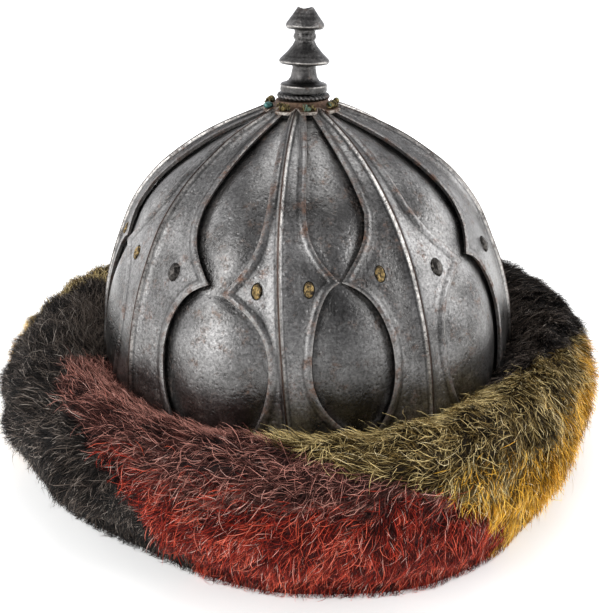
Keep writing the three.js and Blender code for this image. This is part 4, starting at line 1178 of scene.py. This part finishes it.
def hair_paths(station, azimuth, coat):
    count, segments = len(station), coat["segments"]
    lean = np.radians(np.interp(station, LEAN_AT, LEAN_DEG))
    swept, tufted = sweep_field(station, azimuth), tuft_value(station, azimuth, LOCK_TUFT_MM, 1)
    lean += SWEEP_LEAN * swept + TUFT_LEAN * tufted
    lean += random.normal(0, coat["spread"], count)
    length = random.uniform(*coat["length"], count) * np.interp(station, LENGTH_AT, LENGTH_SHARE)
    spacing = np.interp(station, SPACING_AT, SPACING_MM)
    curl = random.normal(0, coat["curl"], count) * np.interp(station, CURL_AT, CURL_SHARE)
    stations, azimuths = [station], [azimuth]
    for t in (np.arange(segments) + 0.5) / segments:
        heading = lean + curl * (t - 0.5)
        stations.append(stations[-1] + length / segments * np.cos(heading) / spacing)
        azimuths.append(azimuths[-1] - np.degrees(length / segments * np.sin(heading) / HAIR_RADIUS))
    rise = hair_rise(station, azimuth, stations[-1], azimuths[-1], coat)
    points = []
    for i in range(segments + 1):
        lift = HAIR_ROOT + (rise - HAIR_ROOT) * (1 - (1 - i / segments) ** HAIR_BEND)
        along = np.maximum(stations[i], 0)
        spill = np.minimum(np.maximum(along - LAST_HAIR, 0) * SPILL_SLOPE, SPILL_MM)[:, None] * MM
        point = fur_point(np.minimum(along, LAST_HAIR), azimuths[i], lift)
        point = point + around(azimuths[i], 1.0, 0.0) / MM * spill - np.array([0, 0, 1.0]) * spill
        point[:, 2] = np.maximum(point[:, 2], LOWEST_HAIR * MM)
        points.append(point)
    middle = (segments + 1) // 2
    seam = untwisted(np.clip(stations[middle], 0, LAST_HAIR), azimuths[middle])
    return np.stack(points, axis=1), seam


print("hair lengths:", [coat[3] for coat in COATS], "mm")

# %% Ribbons
HAIR_TURN, TINY = 0.45, 1e-9


def hair_ribbons(paths, azimuth, width_mm):
    count, steps, _ = paths.shape
    tangent = np.gradient(paths, axis=1)
    tangent /= np.linalg.norm(tangent, axis=2, keepdims=True) + TINY
    outward = paths - around(azimuth, float(FUR_CENTRE_R), float(FUR_CENTRE_Z))[:, None, :]
    outward /= np.linalg.norm(outward, axis=2, keepdims=True) + TINY
    facing = outward + random.normal(0, HAIR_TURN, (count, 1, 3))
    across = np.cross(tangent, facing)
    across /= np.linalg.norm(across, axis=2, keepdims=True) + TINY
    taper = np.interp(np.linspace(0, 1, steps), [0, 0.6, 1], [1, 0.8, 0])
    half = (width_mm[:, None] * taper[None, :])[:, :, None] * across * MM / 2
    pairs = np.stack([paths - half, paths + half], axis=2)
    body = pairs[:, :-1].reshape(count, -1, 3)
    return np.concatenate([body, paths[:, -1:]], axis=1)


print("hair widths:", [coat[4] for coat in COATS], "mm")

# %% Colours of the hairs
# The stretch of the palette that a coat takes where the dye is worn, and where it is fresh.
WORN_SHADES = {"underfur": (0.02, 0.3), "guard": (0.2, 0.43), "crinkled": (0.36, 0.43)}
FRESH_SHADES = {"underfur": (0.51, 0.76), "guard": (0.56, 0.9), "crinkled": (0.78, 0.9)}
WORN_LIMITS, FRESH_LIMITS, PALE_LIMITS = (0.02, 0.43), (0.51, 0.91), (0.92, 0.97)
# Dark hairs are the more common ones, and the powers say by how much.
WORN_POWER, FRESH_POWER, PALE_SHARE = 2.3, 1.9, 0.035
# A tuft's shade varies by up to the first, and worn hairs on the inner top get painted light by up to the
# second, between these stations.
TUFT_SHADE, INNER_PAINTED_LIGHT, INNER_STATIONS = 0.1, 0.12, (2.2, 1)


def shades(station, azimuth, coat):
    count = len(station)
    fresh = random.random(count) < freshness(station, azimuth)
    chance = random.random(count) ** np.where(fresh, FRESH_POWER, WORN_POWER)
    worn, dyed = (lerp(*table[coat["name"]], chance) for table in (WORN_SHADES, FRESH_SHADES))
    shade = np.where(fresh, dyed, worn)
    # Worn hairs on the inner top, close by the dome, are drawn lighter: painted light against the dome's shade.
    inner_painted_light = INNER_PAINTED_LIGHT * smooth_step(*INNER_STATIONS, station)
    shade += TUFT_SHADE * tuft_value(station, azimuth, SHADE_TUFT_MM, 3) + np.where(fresh, 0, inner_painted_light)
    shade = np.where(fresh, np.clip(shade, *FRESH_LIMITS), np.clip(shade, *WORN_LIMITS))
    pale = random.random(count) < PALE_SHARE
    return np.where(pale, random.uniform(*PALE_LIMITS, count), shade)


print("pale hairs:", round(PALE_SHARE * 100, 1), "in a hundred")

# %% Join the hair
# A hair takes a narrow strip of the palette, from just inside its root end to just inside its tip end.
STRIP_HALF, STRIP_ROOT, STRIP_LENGTH = 0.006, 0.02, 0.96
# The joint between two lengths wanders by this many degrees, in waves and in tufts.
SEAM_WAVES, SEAM_TUFTS = 3.0, 1.5


def hair_mesh(name, batches):
    vertices, triangles, spots, offset = [], [], [], 0
    for ribbons, shade in batches:
        count, size, _ = ribbons.shape
        segments = (size - 1) // 2
        strip = []
        for i in range(segments - 1):
            strip += [(2 * i, 2 * i + 1, 2 * i + 3), (2 * i, 2 * i + 3, 2 * i + 2)]
        strip.append((size - 3, size - 2, size - 1))
        strip = np.array(strip)
        faces = np.arange(count)[:, None, None] * size + strip[None] + offset
        along = np.append(np.repeat(np.arange(segments) / segments, 2), 1.0)
        aside = np.append(np.tile([-STRIP_HALF, STRIP_HALF], segments), 0.0)
        along = np.broadcast_to(STRIP_ROOT + STRIP_LENGTH * along, (count, size))
        spot = np.stack([shade[:, None] + aside[None], along], axis=-1)
        vertices.append(ribbons.reshape(-1, 3))
        triangles.append(faces.reshape(-1, 3))
        spots.append(spot.reshape(-1, 2))
        offset += count * size
    vertices, triangles, spots = (np.concatenate(parts) for parts in (vertices, triangles, spots))
    mesh = bpy.data.meshes.new(name)
    mesh.from_pydata(vertices, [], triangles)
    palette = mesh.uv_layers.new(name="OFBake")
    palette.uv.foreach_set("vector", spots[triangles.ravel()].astype(np.float32).ravel())
    mesh.polygons.foreach_set("use_smooth", np.ones(len(triangles), bool))
    return mesh


batches = {name: [] for name, span, dye in FUR_LENGTHS}
for row in COATS:
    coat = dict(zip(COAT_COLUMNS, row))
    station, azimuth = spread_roots(coat["count"])
    paths, seam = hair_paths(station, azimuth, coat)
    seam = seam + SEAM_WAVES * sweep_field(station * 3, azimuth * 2.3)
    seam = (seam + SEAM_TUFTS * tuft_value(station, azimuth, LOCK_TUFT_MM, 4)) % 360
    width = random.uniform(*coat["width"], coat["count"])
    ribbons = hair_ribbons(paths, azimuth, width)
    start = 0
    for name, span, dye in FUR_LENGTHS:
        mine = (seam >= start) & (seam < start + span)
        batches[name].append((ribbons[mine], shades(station[mine], azimuth[mine], coat)))
        start += span
for name, span, dye in FUR_LENGTHS:
    mesh = hair_mesh(f"{name}_hair", batches[name])
    hair = ride_helmet(mesh, fur_materials[dye], [name])
    print(hair.name, "triangles:", len(mesh.polygons))

# %% [markdown]
# ## Floor and light
# The photograph is a studio shot on white. A large pale floor fills the frame and glows a little, so that it
# stays white, but less so near the helmet, which paints a soft shadow round it. A big soft light stands low on
# the left and a weaker one on the right, one hangs above, and two stand behind. The surroundings fill in the
# rest, bright near the horizon and dimmer above.

# %% Floor
FLOOR_RADIUS = 30.0
# The floor glows less within the first distance from the axis and fully from the second, both in metres, which
# paints a shadow round the helmet.
PAINTED_SHADOW_FROM, PAINTED_SHADOW_TO, PAINTED_SHADOW_GLOW, GLOW_FAR = 0.13, 0.34, 0.3, 0.72

bm = bmesh.new()
bmesh.ops.create_circle(bm, cap_ends=True, segments=64, radius=FLOOR_RADIUS)
floor_mesh = bpy.data.meshes.new("studio_floor")
bm.to_mesh(floor_mesh)
bm.free()
glowing_floor_paper, tree, shader = new_material("glowing_paper_with_painted_shadow")
shader.inputs["Base Color"].default_value = linear("#f4f4f2")
shader.inputs["Roughness"].default_value = 0.9
shader.inputs["Emission Color"].default_value = linear("#ffffff")
place = add_node(tree, "ShaderNodeTexCoord").outputs["Object"]
distance = add_node(tree, "ShaderNodeVectorMath", {0: place}, operation="LENGTH").outputs["Value"]
# The dip in the glow near the axis is a painted shadow under the helmet.
glow_and_painted_shadow = add_node(tree, "ShaderNodeMapRange", {0: distance, 1: PAINTED_SHADOW_FROM, 2: PAINTED_SHADOW_TO, 3: PAINTED_SHADOW_GLOW, 4: GLOW_FAR},
                interpolation_type="SMOOTHSTEP")
tree.links.new(glow_and_painted_shadow.outputs[0], shader.inputs["Emission Strength"])
floor_mesh.materials.append(glowing_floor_paper)
floor = bpy.data.objects.new("studio_floor", floor_mesh)
bpy.context.scene.collection.objects.link(floor)
print("floor radius:", FLOOR_RADIUS, "m")

# %% Lights
LIGHT_AIM = Vector((0, 0, 0.09))
# The place of each light in metres, its size in metres and its power in watts.
LIGHTS = [
    ("key_softbox", (-1.0, -0.85, 0.75), 0.95, 14),
    ("right_softbox", (1.35, -0.45, 0.7), 0.8, 8),
    ("top_softbox", (0.1, 0.3, 1.6), 0.9, 7),
    ("left_back_softbox", (-1.25, 0.35, 0.6), 0.7, 4),
    ("right_back_softbox", (1.2, 0.45, 0.65), 0.7, 6),
]
for name, place, size, watts in LIGHTS:
    lamp = bpy.data.lights.new(name, "AREA")
    lamp.size, lamp.energy = size, watts
    light = bpy.data.objects.new(name, lamp)
    aim = LIGHT_AIM - Vector(place)
    light.matrix_world = Matrix.Translation(place) @ aim.to_track_quat("-Z", "Y").to_matrix().to_4x4()
    bpy.context.scene.collection.objects.link(light)
print("lights:", [row[0] for row in LIGHTS])

# %% Surroundings
world = bpy.data.worlds.new("studio")
bpy.context.scene.world = world
world.use_nodes = True
tree = world.node_tree
direction = add_node(tree, "ShaderNodeTexCoord").outputs["Generated"]
axes = add_node(tree, "ShaderNodeSeparateXYZ", {0: direction}).outputs
by_height = add_node(tree, "ShaderNodeMapRange", {0: axes["Z"], 1: 0.0, 2: 0.8, 3: 1.0, 4: 0.35})
by_side = add_node(tree, "ShaderNodeMapRange", {0: axes["Y"], 1: -0.9, 2: 0.1, 3: 0.7, 4: 1.25})
strength = add_node(tree, "ShaderNodeMath", {0: by_height.outputs[0], 1: by_side.outputs[0]},
                    operation="MULTIPLY")
tree.links.new(strength.outputs[0], tree.nodes["Background"].inputs["Strength"])
tree.nodes["Background"].inputs["Color"].default_value = linear("#fbfbff")
bpy.context.scene.view_settings.view_transform = "Standard"
print("surroundings:", world.name)
